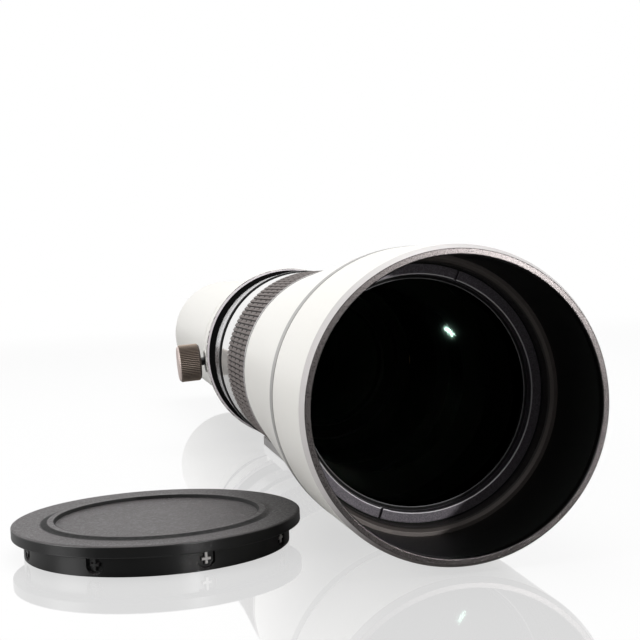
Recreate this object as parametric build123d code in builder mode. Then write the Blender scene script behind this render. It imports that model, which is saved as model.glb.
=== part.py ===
"""Long white telephoto zoom lens, standing on its tripod foot with its front cap lying beside it.

Millimetres, +Z up. The optical axis is the Y axis: the rear mounting flange is at y = 0 and the hood looks
towards -Y. The lens is an assembly of turned tubes and rings: a fixed barrel, a focusing ring that drives an inner
lens cell through helical slots, a zoom ring that turns a cam tube and so moves two more cells, a tripod collar that
turns round the barrel, its clamp knob, and a push-in front cap.
"""

import math
import os

from build123d import *

# Lengths along the axis, from the front backwards
hood_length = 49.5
trim_length = 6.2
cone_length = 117.9
grip_length = 64.8
plain_ring_length = 25.9
groove_length = 5.0
scale_length = 27.8
flare_length = 19.7
collar_length = 30.0
retainer_length = 4.0
zoom_length = 40.0
rear_barrel_length = 229.2
bezel_length = 12.0
mount_length = 5.0

# Outer radii
mouth_radius = 49.1
rim_radius = 51.2
rim_chamfer_radius = 52.6
hood_radius = 53.5
focus_radius = 45.9
groove_lip_radius = 46.3
scale_front_radius = 47.1
scale_rear_radius = 46.0
flare_radius = 48.4
collar_radius = 46.9
collar_lip_radius = 48.9
rear_barrel_radius = 42.3
mount_radius = 21.0

# Fits
running_gap = 0.3
slot_clearance = 0.2
seat_gap = 0.02

# Stations along the axis, from the front rim to the rear flange
overall_length = (
    hood_length + trim_length + cone_length + grip_length + plain_ring_length + groove_length + scale_length
    + flare_length + collar_length + retainer_length + zoom_length + rear_barrel_length + bezel_length
)
front = -overall_length
hood_end = front + hood_length
trim_end = hood_end + trim_length
cone_end = trim_end + cone_length
grip_end = cone_end + grip_length
focus_end = grip_end + plain_ring_length
groove_end = focus_end + groove_length
scale_end = groove_end + scale_length
flare_end = scale_end + flare_length
collar_end = flare_end + collar_length
retainer_end = collar_end + retainer_length
zoom_end = retainer_end + zoom_length
rear_end = zoom_end + rear_barrel_length

# Hood
rim_depth = 3.2
rim_spigot = 3.0
hood_wall = 1.3
lining_wall = 0.8
lining_length = 39.0
trim_groove = 0.6
hood_bore = rim_chamfer_radius - hood_wall
lining_end = front + rim_depth + lining_length

# Front lens group
filter_radius = 47.5
filter_lip = 2.0
filter_depth = 5.2
ring_radius = 43.1
ring_seat_radius = 47.0
ring_thickness = 4.4
element_radius = 46.0
crown_edge = 5.0
flint_edge = 10.9
crown_curve = 280.0
cement_curve = 240.0
cell_radius = 49.5
cell_shoulder = 42.5
cell_tail = 8.0
spanner_slot = 1.0
spanner_depth = 1.4
spanner_angle = 69.0
filter_front = lining_end + seat_gap
filter_end = filter_front + filter_lip + filter_depth
ring_end = filter_end + ring_thickness
crown_front = ring_end + (element_radius**2 - ring_radius**2) / (2 * crown_curve) + 0.02
crown_edge_end = crown_front + crown_edge
flint_edge_end = crown_edge_end + flint_edge
cell_end = flint_edge_end + cell_tail

# Fixed barrel
cone_wall = 1.8
flange_length = 13.0
barrel_radius = 41.2
barrel_wall = 1.8
deck_radius = 44.6
track_radius = 43.5
web_thickness = 3.5
deck_bore = 41.4
step_length = 3.0
zoom_seat_radius = 36.5
zoom_seat_wall = 2.2
zoom_seat_tail = 8.0
barrel_bore = barrel_radius - barrel_wall
flange_front = cone_end - flange_length
cone_bore = focus_radius + 0.6 - cone_wall
baffle_bore = 37.0
baffle_thickness = 1.5
baffle_setback = 45.0

# Focusing drive
pin_radius = 3.0
pin_count = 3
focus_rest = 43.0
focus_travel = 10.0
focus_turn = 60.0
sleeve_wall = 1.7
grip_base = 1.1
pad_height = 0.7
pad_rows = 120
pad_columns = 4
pad_gap = 3.2
pad_share = 0.74
lip_length = 1.6
lip_height = 0.9
focus_lens_radius = 30.0
focus_lens_front = 5.0
focus_lens_back = 3.0
focus_lens_hollow = 3.0
focus_cell_length = 26.0
focus_cell_wall = 4.0
focus_seat = 2.0
lens_lip = 1.5
lens_ring_length = 3.0
sleeve_bore = barrel_radius + running_gap
sleeve_radius = sleeve_bore + sleeve_wall
grip_seat = sleeve_radius + grip_base

# Zoom drive
guide_radius = 28.7
guide_wall = 1.4
cam_wall = 1.6
zoom_turn = 80.0
variator_travel = 45.0
compensator_travel = -18.0
cam_pin_radius = 2.0
variator_rest = 40.0
compensator_rest = 150.0
variator_radius = 20.0
variator_edge = 4.0
variator_hollow = 2.5
compensator_radius = 22.0
compensator_edge = 1.5
compensator_bulge = 2.5
zoom_cell_length = 18.0
key_radius = 2.0
key_offset = 12.0
zoom_ring_wall = 1.2
zoom_rubber = 1.4
guide_bore = guide_radius - guide_wall
cam_bore = guide_radius + running_gap
cam_radius = cam_bore + cam_wall
cam_length = 188.0
zoom_bore = zoom_seat_radius + running_gap
zoom_ring_radius = zoom_bore + zoom_ring_wall
zoom_grip_radius = zoom_ring_radius + zoom_rubber
zoom_ribs = 60
rib_height = 0.7

# Rear
rear_wall = 1.8
rear_lens_radius = 22.0
rear_lens_edge = 2.5
rear_front_bulge = 2.5
rear_back_bulge = 1.5
rear_lens_setback = 6.0
rear_cell_length = 16.0
rear_bore = 18.0
stop_bore = 14.0
stop_setback = 30.0
flange_radius = 27.0
flange_thickness = 4.0
bezel_nose = 33.0
bezel_curve = 14.0

# Tripod collar, foot and clamp
foot_bottom = 54.2
foot_thickness = 5.0
foot_width = 32.0
foot_length = 72.0
foot_setback = 15.0
saddle_width = 28.0
saddle_length = 14.0
bush_radius = 5.0
tripod_hole_radius = 3.175
bush_setback = 42.0
foot_screw_radius = 2.0
foot_screw_head = 3.6
foot_screw_head_height = 2.2
foot_screw_spacing = 17.0
clamp_drop = 3.5
clamp_setback = 13.2
boss_radius = 6.5
boss_height = 1.7
clamp_screw_radius = 2.3
knob_radius = 10.7
knob_length = 14.8
knob_gap = 2.0
knob_teeth = 60
knob_tooth_depth = 0.45

# Front cap
cap_radius = 53.2
cap_skirt_radius = 48.9
cap_height = 11.9
cap_flange = 4.6
cap_wall = 2.0
cap_disc_radius = 37.5
cap_disc_depth = 1.2
cap_ridge = 2.6
cap_x = -93.5
cap_from_rim = 82.5
cap_pockets = 8
cap_pocket_turn = -7.0
cap_pocket_width = 6.4
cap_pocket_depth = 1.2
cap_pocket_bottom = 0.9
cap_rib_width = 0.8
cap_rib_bottom = 2.4
cap_bar_height = 4.1
cap_bar_length = 3.2

os.makedirs("parts", exist_ok=True)


def cone_inner(y):
    """Inner radius of the tapered front barrel at station y behind the front cell."""
    return cell_radius + (cone_bore - cell_radius) * (y - cell_end) / (flange_front - cell_end)


def sag(curve, radius):
    """Depth of a spherical cap of one radius of curvature over a lens of another radius."""
    return curve - math.sqrt(curve * curve - radius * radius)


def curve(depth, radius):
    """Radius of curvature of a spherical surface of the given depth over a lens of the given radius."""
    return (radius * radius + depth * depth) / (2 * depth)


def keep(piece, name):
    """Label a finished piece and write it as its own STEP file."""
    piece.part.label = name
    export_step(piece.part, f"parts/{name}.step")


# Front rim ring, screwed into the hood, with the mouth that the cap pushes into
with BuildPart() as hood_rim_ring:
    with BuildSketch(Plane.YZ):
        with BuildLine():
            Polyline(
                (front, mouth_radius + 0.3),
                (front, rim_radius),
                (front + rim_depth, rim_chamfer_radius),
                (front + rim_depth, hood_bore),
                (front + rim_depth + rim_spigot, hood_bore),
                (front + rim_depth + rim_spigot, hood_bore - lining_wall),
                (front + rim_depth, mouth_radius),
                (front + 0.3, mouth_radius),
                close=True,
            )
        make_face()
    revolve(axis=Axis.Y)
keep(hood_rim_ring, "hood_rim_ring")

# Hood shell, a thin turned tube that widens a little towards the rear
with BuildPart() as hood_shell:
    with BuildSketch(Plane.YZ):
        with BuildLine():
            Polyline(
                (front + rim_depth, hood_bore),
                (front + rim_depth, rim_chamfer_radius),
                (hood_end, hood_radius - 0.1),
                (hood_end, hood_bore),
                close=True,
            )
        make_face()
    revolve(axis=Axis.Y)
keep(hood_shell, "hood_shell")

# Black lining sleeve inside the hood
with BuildPart() as hood_lining:
    with BuildSketch(Plane.YZ):
        with BuildLine():
            Polyline(
                (front + rim_depth + rim_spigot, hood_bore - lining_wall),
                (front + rim_depth + rim_spigot, hood_bore),
                (lining_end, hood_bore),
                (lining_end, hood_bore - lining_wall),
                close=True,
            )
        make_face()
    revolve(axis=Axis.Y)
keep(hood_lining, "hood_lining")

# Grey trim ring with its fine front groove, between the hood and the tapered barrel
with BuildPart() as hood_trim_ring:
    with BuildSketch(Plane.YZ):
        with BuildLine():
            Polyline(
                (hood_end, hood_bore),
                (hood_end, hood_radius - 0.1 - trim_groove),
                (hood_end + trim_groove, hood_radius - 0.1 - trim_groove),
                (hood_end + trim_groove, hood_radius),
                (trim_end, hood_radius),
                (trim_end, hood_bore),
                close=True,
            )
        make_face()
    revolve(axis=Axis.Y)
keep(hood_trim_ring, "hood_trim_ring")

# Filter ring with the 95 mm filter thread, seated in front of the objective cell
with BuildPart() as filter_ring:
    with BuildSketch(Plane.YZ):
        with BuildLine():
            Polyline(
                (filter_front, filter_radius + filter_lip - 0.4),
                (filter_front, hood_bore - seat_gap),
                (filter_front + filter_lip, hood_bore - seat_gap),
                (filter_front + filter_lip, cell_radius),
                (filter_end, cell_radius),
                (filter_end, filter_radius),
                (filter_front + filter_lip - 0.4, filter_radius),
                close=True,
            )
        make_face()
    revolve(axis=Axis.Y)
keep(filter_ring, "filter_ring")

# Objective cell that holds the front doublet
with BuildPart() as front_cell:
    with BuildSketch(Plane.YZ):
        with BuildLine():
            Polyline(
                (filter_end, ring_seat_radius),
                (filter_end, cell_radius),
                (cell_end, cell_radius),
                (cell_end, cell_shoulder + 2.0),
                (flint_edge_end, cell_shoulder),
                (flint_edge_end, element_radius),
                (ring_end, element_radius),
                (ring_end, ring_seat_radius),
                close=True,
            )
        make_face()
    revolve(axis=Axis.Y)
keep(front_cell, "front_cell")

# Retaining ring with two spanner slots, screwed down on the front doublet
with BuildPart() as front_retaining_ring:
    with BuildSketch(Plane.YZ):
        with BuildLine():
            Polyline(
                (filter_end, ring_radius + 0.7),
                (filter_end, ring_seat_radius),
                (ring_end, ring_seat_radius),
                (ring_end, ring_radius),
                (filter_end + 0.7, ring_radius),
                close=True,
            )
        make_face()
    revolve(axis=Axis.Y)
    with BuildSketch(Plane((0, filter_end, 0), x_dir=(1, 0, 0), z_dir=(0, 1, 0))):
        with PolarLocations((ring_radius + ring_seat_radius) / 2, 2, start_angle=-spanner_angle):
            Rectangle(ring_seat_radius - ring_radius + 1.0, spanner_slot)
    extrude(amount=spanner_depth, mode=Mode.SUBTRACT)
keep(front_retaining_ring, "front_retaining_ring")

# Crown element of the front doublet, convex on both sides
crown_sag = sag(crown_curve, element_radius)
cement_sag = sag(cement_curve, element_radius)
with BuildPart() as crown_element:
    with BuildSketch(Plane.YZ):
        with BuildLine():
            RadiusArc((crown_front - crown_sag, 0), (crown_front, element_radius), crown_curve)
            Line((crown_front, element_radius), (crown_edge_end, element_radius))
            RadiusArc((crown_edge_end, element_radius), (crown_edge_end + cement_sag, 0), cement_curve)
            Line((crown_edge_end + cement_sag, 0), (crown_front - crown_sag, 0))
        make_face()
    revolve(axis=Axis.Y)
keep(crown_element, "crown_element")

# Flint element, cemented behind the crown
with BuildPart() as flint_element:
    with BuildSketch(Plane.YZ):
        with BuildLine():
            RadiusArc((crown_edge_end, element_radius), (crown_edge_end + cement_sag, 0), cement_curve)
            Line((crown_edge_end + cement_sag, 0), (flint_edge_end, 0))
            Line((flint_edge_end, 0), (flint_edge_end, element_radius))
            Line((flint_edge_end, element_radius), (crown_edge_end, element_radius))
        make_face()
    revolve(axis=Axis.Y)
keep(flint_element, "flint_element")

# Tapered front barrel, with the spigot that carries the hood and the trim ring
with BuildPart() as front_barrel:
    with BuildSketch(Plane.YZ):
        with BuildLine():
            Polyline(
                (filter_front + filter_lip, cell_radius),
                (filter_front + filter_lip, hood_bore),
                (trim_end, hood_bore),
                (trim_end, hood_radius - 0.2),
                (trim_end + 0.4, hood_radius),
                (cone_end - 0.4, focus_radius + 0.6),
                (cone_end - 0.4, cone_bore),
                (flange_front, cone_bore),
                (cell_end, cell_radius),
                close=True,
            )
        make_face()
    revolve(axis=Axis.Y)
keep(front_barrel, "front_barrel")

# Light baffle, a thin blackened disc wedged in the tapered barrel
baffle_front = flange_front - baffle_setback
with BuildPart() as light_baffle:
    with BuildSketch(Plane.YZ):
        with BuildLine():
            Polyline(
                (baffle_front, baffle_bore),
                (baffle_front, cone_inner(baffle_front)),
                (baffle_front + baffle_thickness, cone_inner(baffle_front + baffle_thickness)),
                (baffle_front + baffle_thickness, baffle_bore + 1.0),
                close=True,
            )
        make_face()
    revolve(axis=Axis.Y)
keep(light_baffle, "light_baffle")

# Fixed main barrel: front flange, focusing track with straight slots, decks, collar track and zoom seat
focus_centre = cone_end + focus_rest
guide_half = focus_travel + pin_radius + slot_clearance
key_station = retainer_end + key_offset
with BuildPart() as main_barrel:
    with BuildSketch(Plane.YZ):
        with BuildLine():
            Polyline(
                (flange_front, barrel_bore),
                (flange_front, cone_bore),
                (cone_end - 1.2, cone_bore),
                (cone_end - 1.2, barrel_radius),
                (focus_end + running_gap, barrel_radius),
                (focus_end + running_gap, deck_radius),
                (flare_end, deck_radius),
                (flare_end, track_radius),
                (retainer_end, track_radius),
                (retainer_end, zoom_seat_radius),
                (zoom_end + zoom_seat_tail, zoom_seat_radius),
                (zoom_end + zoom_seat_tail, zoom_seat_radius - zoom_seat_wall),
                (retainer_end, zoom_seat_radius - zoom_seat_wall),
                (retainer_end, guide_radius),
                (retainer_end - web_thickness, guide_radius),
                (retainer_end - web_thickness, deck_bore),
                (focus_end + step_length, deck_bore),
                (focus_end + step_length, barrel_bore),
                close=True,
            )
        make_face()
    revolve(axis=Axis.Y)
    for turn in range(pin_count):
        slot_plane = Plane(
            (0, focus_centre, 0),
            x_dir=(0, 1, 0),
            z_dir=(math.cos(turn * math.tau / pin_count), 0, math.sin(turn * math.tau / pin_count)),
        )
        with BuildSketch(slot_plane.offset(barrel_bore - 2.0)):
            SlotOverall(2 * guide_half, 2 * (pin_radius + slot_clearance))
        extrude(amount=barrel_wall + 4.0, mode=Mode.SUBTRACT)
    key_half = key_radius + slot_clearance
    for start in (0, 180):
        with BuildSketch(Plane.YZ.rotated((0, start - 6, 0))):
            with BuildLine():
                Polyline(
                    (key_station - key_half, zoom_seat_radius - zoom_seat_wall - 1.0),
                    (key_station - key_half, zoom_seat_radius + 1.0),
                    (key_station + key_half, zoom_seat_radius + 1.0),
                    (key_station + key_half, zoom_seat_radius - zoom_seat_wall - 1.0),
                    close=True,
                )
            make_face()
        revolve(axis=Axis.Y, revolution_arc=zoom_turn + 12, mode=Mode.SUBTRACT)
keep(main_barrel, "main_barrel")

# Bright scale ring, seated on the barrel deck behind the dark groove
with BuildPart() as scale_ring:
    with BuildSketch(Plane.YZ):
        with BuildLine():
            Polyline(
                (groove_end, deck_radius),
                (groove_end, scale_front_radius - 0.4),
                (groove_end + 0.4, scale_front_radius),
                (scale_end, scale_rear_radius),
                (scale_end, deck_radius),
                close=True,
            )
        make_face()
    revolve(axis=Axis.Y)
keep(scale_ring, "scale_ring")

# Black flared stop ring in front of the tripod collar
with BuildPart() as flare_ring:
    with BuildSketch(Plane.YZ):
        with BuildLine():
            Line((scale_end, deck_radius), (scale_end, scale_rear_radius - 0.2))
            RadiusArc((scale_end, scale_rear_radius - 0.2), (flare_end - 1.0, flare_radius), -90.0)
            Line((flare_end - 1.0, flare_radius), (flare_end, flare_radius))
            Line((flare_end, flare_radius), (flare_end, deck_radius))
            Line((flare_end, deck_radius), (scale_end, deck_radius))
        make_face()
    revolve(axis=Axis.Y)
keep(flare_ring, "flare_ring")

# Ring that keeps the tripod collar on its track
with BuildPart() as collar_retainer:
    with BuildSketch(Plane.YZ):
        with BuildLine():
            Polyline(
                (collar_end, track_radius),
                (collar_end, collar_radius - 0.5),
                (retainer_end - 1.0, collar_radius - 0.5),
                (retainer_end, collar_radius - 1.5),
                (retainer_end, track_radius),
                close=True,
            )
        make_face()
    revolve(axis=Axis.Y)
keep(collar_retainer, "collar_retainer")

# Helical cam sleeve of the focusing ring: its three slots push the pins of the focusing cell along
focus_ratio = focus_travel / math.radians(focus_turn)
sleeve_front = cone_end + running_gap


def helical_slot(rest, low_end, high_end, ratio, angle, inner, outer, width):
    """Cutter for a slot along a helix, where ratio is the advance in millimetres for each radian of turn."""
    steepness = math.atan2(abs(ratio), inner)
    arc = math.degrees(width / math.sin(steepness) / inner)
    start = angle + math.degrees((low_end - rest) / ratio) - arc / 2
    with BuildSketch(Plane.XZ.offset(-low_end)) as sector:
        with BuildLine():
            low_arc = CenterArc((0, 0), inner - 1.0, start, arc)
            high_arc = CenterArc((0, 0), outer + 1.0, start, arc)
            Line(low_arc @ 0, high_arc @ 0)
            Line(low_arc @ 1, high_arc @ 1)
        make_face()
    twist = -math.degrees((high_end - low_end) / ratio)
    return Solid.extrude_linear_with_rotation(
        sector.sketch.faces()[0], (0, low_end, 0), (0, high_end - low_end, 0), twist
    )


focus_slots = [
    helical_slot(
        focus_centre,
        focus_centre - guide_half,
        focus_centre + guide_half,
        focus_ratio,
        360 / pin_count * turn,
        sleeve_bore,
        sleeve_radius,
        2 * (pin_radius + slot_clearance),
    )
    for turn in range(pin_count)
]
with BuildPart() as focus_cam_sleeve:
    with BuildSketch(Plane.YZ):
        with BuildLine():
            Polyline(
                (sleeve_front, sleeve_bore),
                (sleeve_front, sleeve_radius),
                (focus_end, sleeve_radius),
                (focus_end, sleeve_bore),
                close=True,
            )
        make_face()
    revolve(axis=Axis.Y)
    add(focus_slots, mode=Mode.SUBTRACT)
keep(focus_cam_sleeve, "focus_cam_sleeve")

# Focusing ring: front lip, seat of the rubber grip and the plain white band behind it
with BuildPart() as focus_ring:
    with BuildSketch(Plane.YZ):
        with BuildLine():
            Polyline(
                (cone_end, sleeve_radius),
                (cone_end, focus_radius + lip_height - 0.3),
                (cone_end + 0.3, focus_radius + lip_height),
                (cone_end + lip_length, focus_radius + lip_height),
                (cone_end + lip_length, grip_seat),
                (grip_end, grip_seat),
                (grip_end, focus_radius - 0.3),
                (focus_end - 0.4, groove_lip_radius),
                (focus_end, groove_lip_radius - 0.4),
                (focus_end, sleeve_radius),
                close=True,
            )
        make_face()
    revolve(axis=Axis.Y)
keep(focus_ring, "focus_ring")

# Moulded rubber grip: a sleeve with rows of long blocks, parted by grooves round it and along it
pad_top = focus_radius + 0.6
pad_root = pad_top - pad_height
pad_pitch = (grip_end - cone_end - lip_length) / pad_columns
row_step = math.tau / pad_rows
with BuildPart() as focus_grip:
    with BuildSketch(Plane.YZ):
        with BuildLine():
            Polyline(
                (cone_end + lip_length, grip_seat),
                (cone_end + lip_length, pad_root),
                (grip_end, pad_root),
                (grip_end, grip_seat),
                close=True,
            )
        make_face()
    revolve(axis=Axis.Y)
    for column in range(pad_columns):
        with BuildSketch(Plane.XZ.offset(-(cone_end + lip_length + column * pad_pitch + pad_gap / 2))):
            with BuildLine():
                Polyline(
                    [
                        (radius * math.cos(row * row_step + edge), radius * math.sin(row * row_step + edge))
                        for row in range(pad_rows)
                        for radius, edge in (
                            (pad_root - 0.05, -pad_share * row_step / 2),
                            (pad_top, -pad_share * row_step / 2 + 0.1 * row_step),
                            (pad_top, pad_share * row_step / 2 - 0.1 * row_step),
                            (pad_root - 0.05, pad_share * row_step / 2),
                        )
                    ],
                    close=True,
                )
            make_face()
            Circle(grip_seat, mode=Mode.SUBTRACT)
        extrude(amount=-(pad_pitch - pad_gap))
keep(focus_grip, "focus_grip")

# Focusing cell, which slides in the barrel
focus_cell_front = focus_centre - focus_cell_length / 2
focus_cell_back = focus_centre + focus_cell_length / 2
focus_cell_bore = focus_lens_radius + focus_cell_wall
focus_lens_face = focus_centre - focus_lens_front
focus_lens_rear = focus_centre + focus_lens_back
with BuildPart() as focus_cell:
    with BuildSketch(Plane.YZ):
        with BuildLine():
            Polyline(
                (focus_cell_front, focus_cell_bore),
                (focus_cell_front, barrel_bore - running_gap),
                (focus_cell_back, barrel_bore - running_gap),
                (focus_cell_back, focus_cell_bore),
                (focus_lens_rear + focus_seat, focus_cell_bore),
                (focus_lens_rear + focus_seat, focus_lens_radius - focus_seat),
                (focus_lens_rear, focus_lens_radius - focus_seat),
                (focus_lens_rear, focus_lens_radius),
                (focus_lens_face, focus_lens_radius),
                (focus_lens_face, focus_cell_bore),
                close=True,
            )
        make_face()
    revolve(axis=Axis.Y)
keep(focus_cell, "focus_cell")

# Negative focusing lens, hollow on both sides
focus_curve = curve(focus_lens_hollow, focus_lens_radius)
focus_front_pole = focus_lens_face + focus_lens_hollow
focus_rear_pole = focus_lens_rear - focus_lens_hollow
with BuildPart() as focus_element:
    with BuildSketch(Plane.YZ):
        with BuildLine():
            RadiusArc((focus_front_pole, 0), (focus_lens_face, focus_lens_radius), -focus_curve)
            Line((focus_lens_face, focus_lens_radius), (focus_lens_rear, focus_lens_radius))
            RadiusArc((focus_lens_rear, focus_lens_radius), (focus_rear_pole, 0), -focus_curve)
            Line((focus_rear_pole, 0), (focus_front_pole, 0))
        make_face()
    revolve(axis=Axis.Y)
keep(focus_element, "focus_element")

# Ring that holds the focusing lens in its cell
with BuildPart() as focus_retaining_ring:
    with BuildSketch(Plane.YZ):
        with BuildLine():
            Polyline(
                (focus_lens_face - lens_ring_length, focus_lens_radius - lens_lip),
                (focus_lens_face - lens_ring_length, focus_cell_bore),
                (focus_lens_face, focus_cell_bore),
                (focus_lens_face, focus_lens_radius - lens_lip),
                close=True,
            )
        make_face()
    revolve(axis=Axis.Y)
keep(focus_retaining_ring, "focus_retaining_ring")

# Three pins of the focusing cell, through the straight slots into the helical ones
with BuildPart() as focus_pins:
    for turn in range(pin_count):
        turn_angle = turn * math.tau / pin_count
        pin_plane = Plane(
            (0, focus_centre, 0), x_dir=(0, 1, 0), z_dir=(math.cos(turn_angle), 0, math.sin(turn_angle))
        )
        with BuildSketch(pin_plane.offset(barrel_bore - running_gap)):
            Circle(pin_radius)
        extrude(amount=sleeve_radius - barrel_bore)
keep(focus_pins, "focus_pins")

# Guide tube of the zoom, fixed in the barrel web and the rear bezel, with straight slots for both zoom cells
variator_centre = retainer_end + variator_rest
compensator_centre = retainer_end + compensator_rest
cam_half = cam_pin_radius + slot_clearance
with BuildPart() as guide_tube:
    with BuildSketch(Plane.YZ):
        with BuildLine():
            Polyline(
                (retainer_end - web_thickness, guide_bore),
                (retainer_end - web_thickness, guide_radius),
                (rear_end, guide_radius),
                (rear_end, guide_bore),
                close=True,
            )
        make_face()
    revolve(axis=Axis.Y)
    for centre, travel, offset_angle in (
        (variator_centre, variator_travel, 0.0),
        (compensator_centre, compensator_travel, math.pi / pin_count),
    ):
        for turn in range(pin_count):
            slot_angle = turn * math.tau / pin_count + offset_angle
            slot_plane = Plane(
                (0, centre + travel / 2, 0),
                x_dir=(0, 1, 0),
                z_dir=(math.cos(slot_angle), 0, math.sin(slot_angle)),
            )
            with BuildSketch(slot_plane.offset(guide_bore - 2.0)):
                SlotOverall(abs(travel) + 2 * cam_half, 2 * cam_half)
            extrude(amount=guide_wall + 4.0, mode=Mode.SUBTRACT)
keep(guide_tube, "guide_tube")

# Cam tube of the zoom, with one set of helical slots for each zoom cell
cam_front = retainer_end + 2.0
variator_ratio = variator_travel / math.radians(zoom_turn)
compensator_ratio = compensator_travel / math.radians(zoom_turn)
cam_slots = []
for centre, travel, ratio, offset_angle in (
    (variator_centre, variator_travel, variator_ratio, 0.0),
    (compensator_centre, compensator_travel, compensator_ratio, 180 / pin_count),
):
    for turn in range(pin_count):
        cam_slots.append(
            helical_slot(
                centre,
                min(centre, centre + travel) - cam_half,
                max(centre, centre + travel) + cam_half,
                ratio,
                360 / pin_count * turn + offset_angle,
                cam_bore,
                cam_radius,
                2 * cam_half,
            )
        )
with BuildPart() as cam_tube:
    with BuildSketch(Plane.YZ):
        with BuildLine():
            Polyline(
                (cam_front, cam_bore),
                (cam_front, cam_radius),
                (cam_front + cam_length, cam_radius),
                (cam_front + cam_length, cam_bore),
                close=True,
            )
        make_face()
    revolve(axis=Axis.Y)
    add(cam_slots, mode=Mode.SUBTRACT)
    with BuildSketch(Plane.XY):
        with Locations((0, key_station)):
            Circle(key_radius)
    extrude(amount=cam_radius + 1.0, both=True, mode=Mode.SUBTRACT)
keep(cam_tube, "cam_tube")

# Zoom ring on its seat behind the tripod collar
zoom_front = retainer_end + running_gap
zoom_back = zoom_end - running_gap
with BuildPart() as zoom_ring:
    with BuildSketch(Plane.YZ):
        with BuildLine():
            Polyline(
                (zoom_front, zoom_bore),
                (zoom_front, zoom_grip_radius),
                (zoom_front + 2.0, zoom_grip_radius),
                (zoom_front + 2.0, zoom_ring_radius),
                (zoom_back - 2.0, zoom_ring_radius),
                (zoom_back - 2.0, zoom_grip_radius),
                (zoom_back, zoom_grip_radius),
                (zoom_back, zoom_bore),
                close=True,
            )
        make_face()
    revolve(axis=Axis.Y)
    with BuildSketch(Plane.XY):
        with Locations((0, key_station)):
            Circle(key_radius)
    extrude(amount=zoom_grip_radius + 1.0, both=True, mode=Mode.SUBTRACT)
keep(zoom_ring, "zoom_ring")

# Ribbed rubber band of the zoom ring
rib_step = math.tau / zoom_ribs
with BuildPart() as zoom_grip:
    with BuildSketch(Plane.XZ.offset(-(zoom_front + 2.0))):
        with BuildLine():
            Polyline(
                [
                    (radius * math.cos(rib * rib_step + edge), radius * math.sin(rib * rib_step + edge))
                    for rib in range(zoom_ribs)
                    for radius, edge in (
                        (zoom_grip_radius - rib_height, -0.3 * rib_step),
                        (zoom_grip_radius, -0.2 * rib_step),
                        (zoom_grip_radius, 0.2 * rib_step),
                        (zoom_grip_radius - rib_height, 0.3 * rib_step),
                    )
                ],
                close=True,
            )
        make_face()
        Circle(zoom_ring_radius, mode=Mode.SUBTRACT)
    extrude(amount=-(zoom_back - zoom_front - 4.0))
keep(zoom_grip, "zoom_grip")

# Two key screws that carry the turn of the zoom ring through the barrel to the cam tube
with BuildPart() as zoom_keys:
    for side in (1, -1):
        key_plane = Plane((0, key_station, side * (cam_bore + 0.2)), x_dir=(1, 0, 0), z_dir=(0, 0, side))
        with BuildSketch(key_plane):
            Circle(key_radius)
        extrude(amount=zoom_ring_radius - cam_bore - 0.4)
keep(zoom_keys, "zoom_keys")

# Variator cell, its lens and its three pins
cell_half = zoom_cell_length / 2
zoom_cell_radius = guide_bore - running_gap
with BuildPart() as variator_cell:
    with BuildSketch(Plane.YZ):
        with BuildLine():
            Polyline(
                (variator_centre - cell_half, variator_radius),
                (variator_centre - cell_half, zoom_cell_radius),
                (variator_centre + cell_half, zoom_cell_radius),
                (variator_centre + cell_half, variator_radius - lens_lip),
                (variator_centre + variator_edge, variator_radius - lens_lip),
                (variator_centre + variator_edge, variator_radius),
                close=True,
            )
        make_face()
    revolve(axis=Axis.Y)
keep(variator_cell, "variator_cell")

variator_curve = curve(variator_hollow, variator_radius)
variator_pole = variator_edge - variator_hollow
with BuildPart() as variator_element:
    with BuildSketch(Plane.YZ):
        with BuildLine():
            RadiusArc(
                (variator_centre - variator_pole, 0),
                (variator_centre - variator_edge, variator_radius),
                -variator_curve,
            )
            Line(
                (variator_centre - variator_edge, variator_radius),
                (variator_centre + variator_edge, variator_radius),
            )
            RadiusArc(
                (variator_centre + variator_edge, variator_radius),
                (variator_centre + variator_pole, 0),
                -variator_curve,
            )
            Line((variator_centre + variator_pole, 0), (variator_centre - variator_pole, 0))
        make_face()
    revolve(axis=Axis.Y)
keep(variator_element, "variator_element")

with BuildPart() as variator_pins:
    for turn in range(pin_count):
        turn_angle = turn * math.tau / pin_count
        pin_plane = Plane(
            (0, variator_centre, 0), x_dir=(0, 1, 0), z_dir=(math.cos(turn_angle), 0, math.sin(turn_angle))
        )
        with BuildSketch(pin_plane.offset(zoom_cell_radius)):
            Circle(cam_pin_radius)
        extrude(amount=cam_radius - 0.3 - zoom_cell_radius)
keep(variator_pins, "variator_pins")

# Compensator cell, its lens and its three pins
compensator_curve = curve(compensator_bulge, compensator_radius)
compensator_pole = compensator_edge + compensator_bulge
compensator_seat = compensator_centre - compensator_pole
with BuildPart() as compensator_cell:
    with BuildSketch(Plane.YZ):
        with BuildLine():
            Polyline(
                (compensator_centre - cell_half, compensator_radius - lens_lip),
                (compensator_centre - cell_half, zoom_cell_radius),
                (compensator_centre + cell_half, zoom_cell_radius),
                (compensator_centre + cell_half, compensator_radius),
                (compensator_seat, compensator_radius),
                (compensator_seat, compensator_radius - lens_lip),
                close=True,
            )
        make_face()
    revolve(axis=Axis.Y)
keep(compensator_cell, "compensator_cell")

with BuildPart() as compensator_element:
    with BuildSketch(Plane.YZ):
        with BuildLine():
            RadiusArc(
                (compensator_centre - compensator_pole, 0),
                (compensator_centre - compensator_edge, compensator_radius),
                compensator_curve,
            )
            Line(
                (compensator_centre - compensator_edge, compensator_radius),
                (compensator_centre + compensator_edge, compensator_radius),
            )
            RadiusArc(
                (compensator_centre + compensator_edge, compensator_radius),
                (compensator_centre + compensator_pole, 0),
                compensator_curve,
            )
            Line((compensator_centre + compensator_pole, 0), (compensator_centre - compensator_pole, 0))
        make_face()
    revolve(axis=Axis.Y)
keep(compensator_element, "compensator_element")

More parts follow.
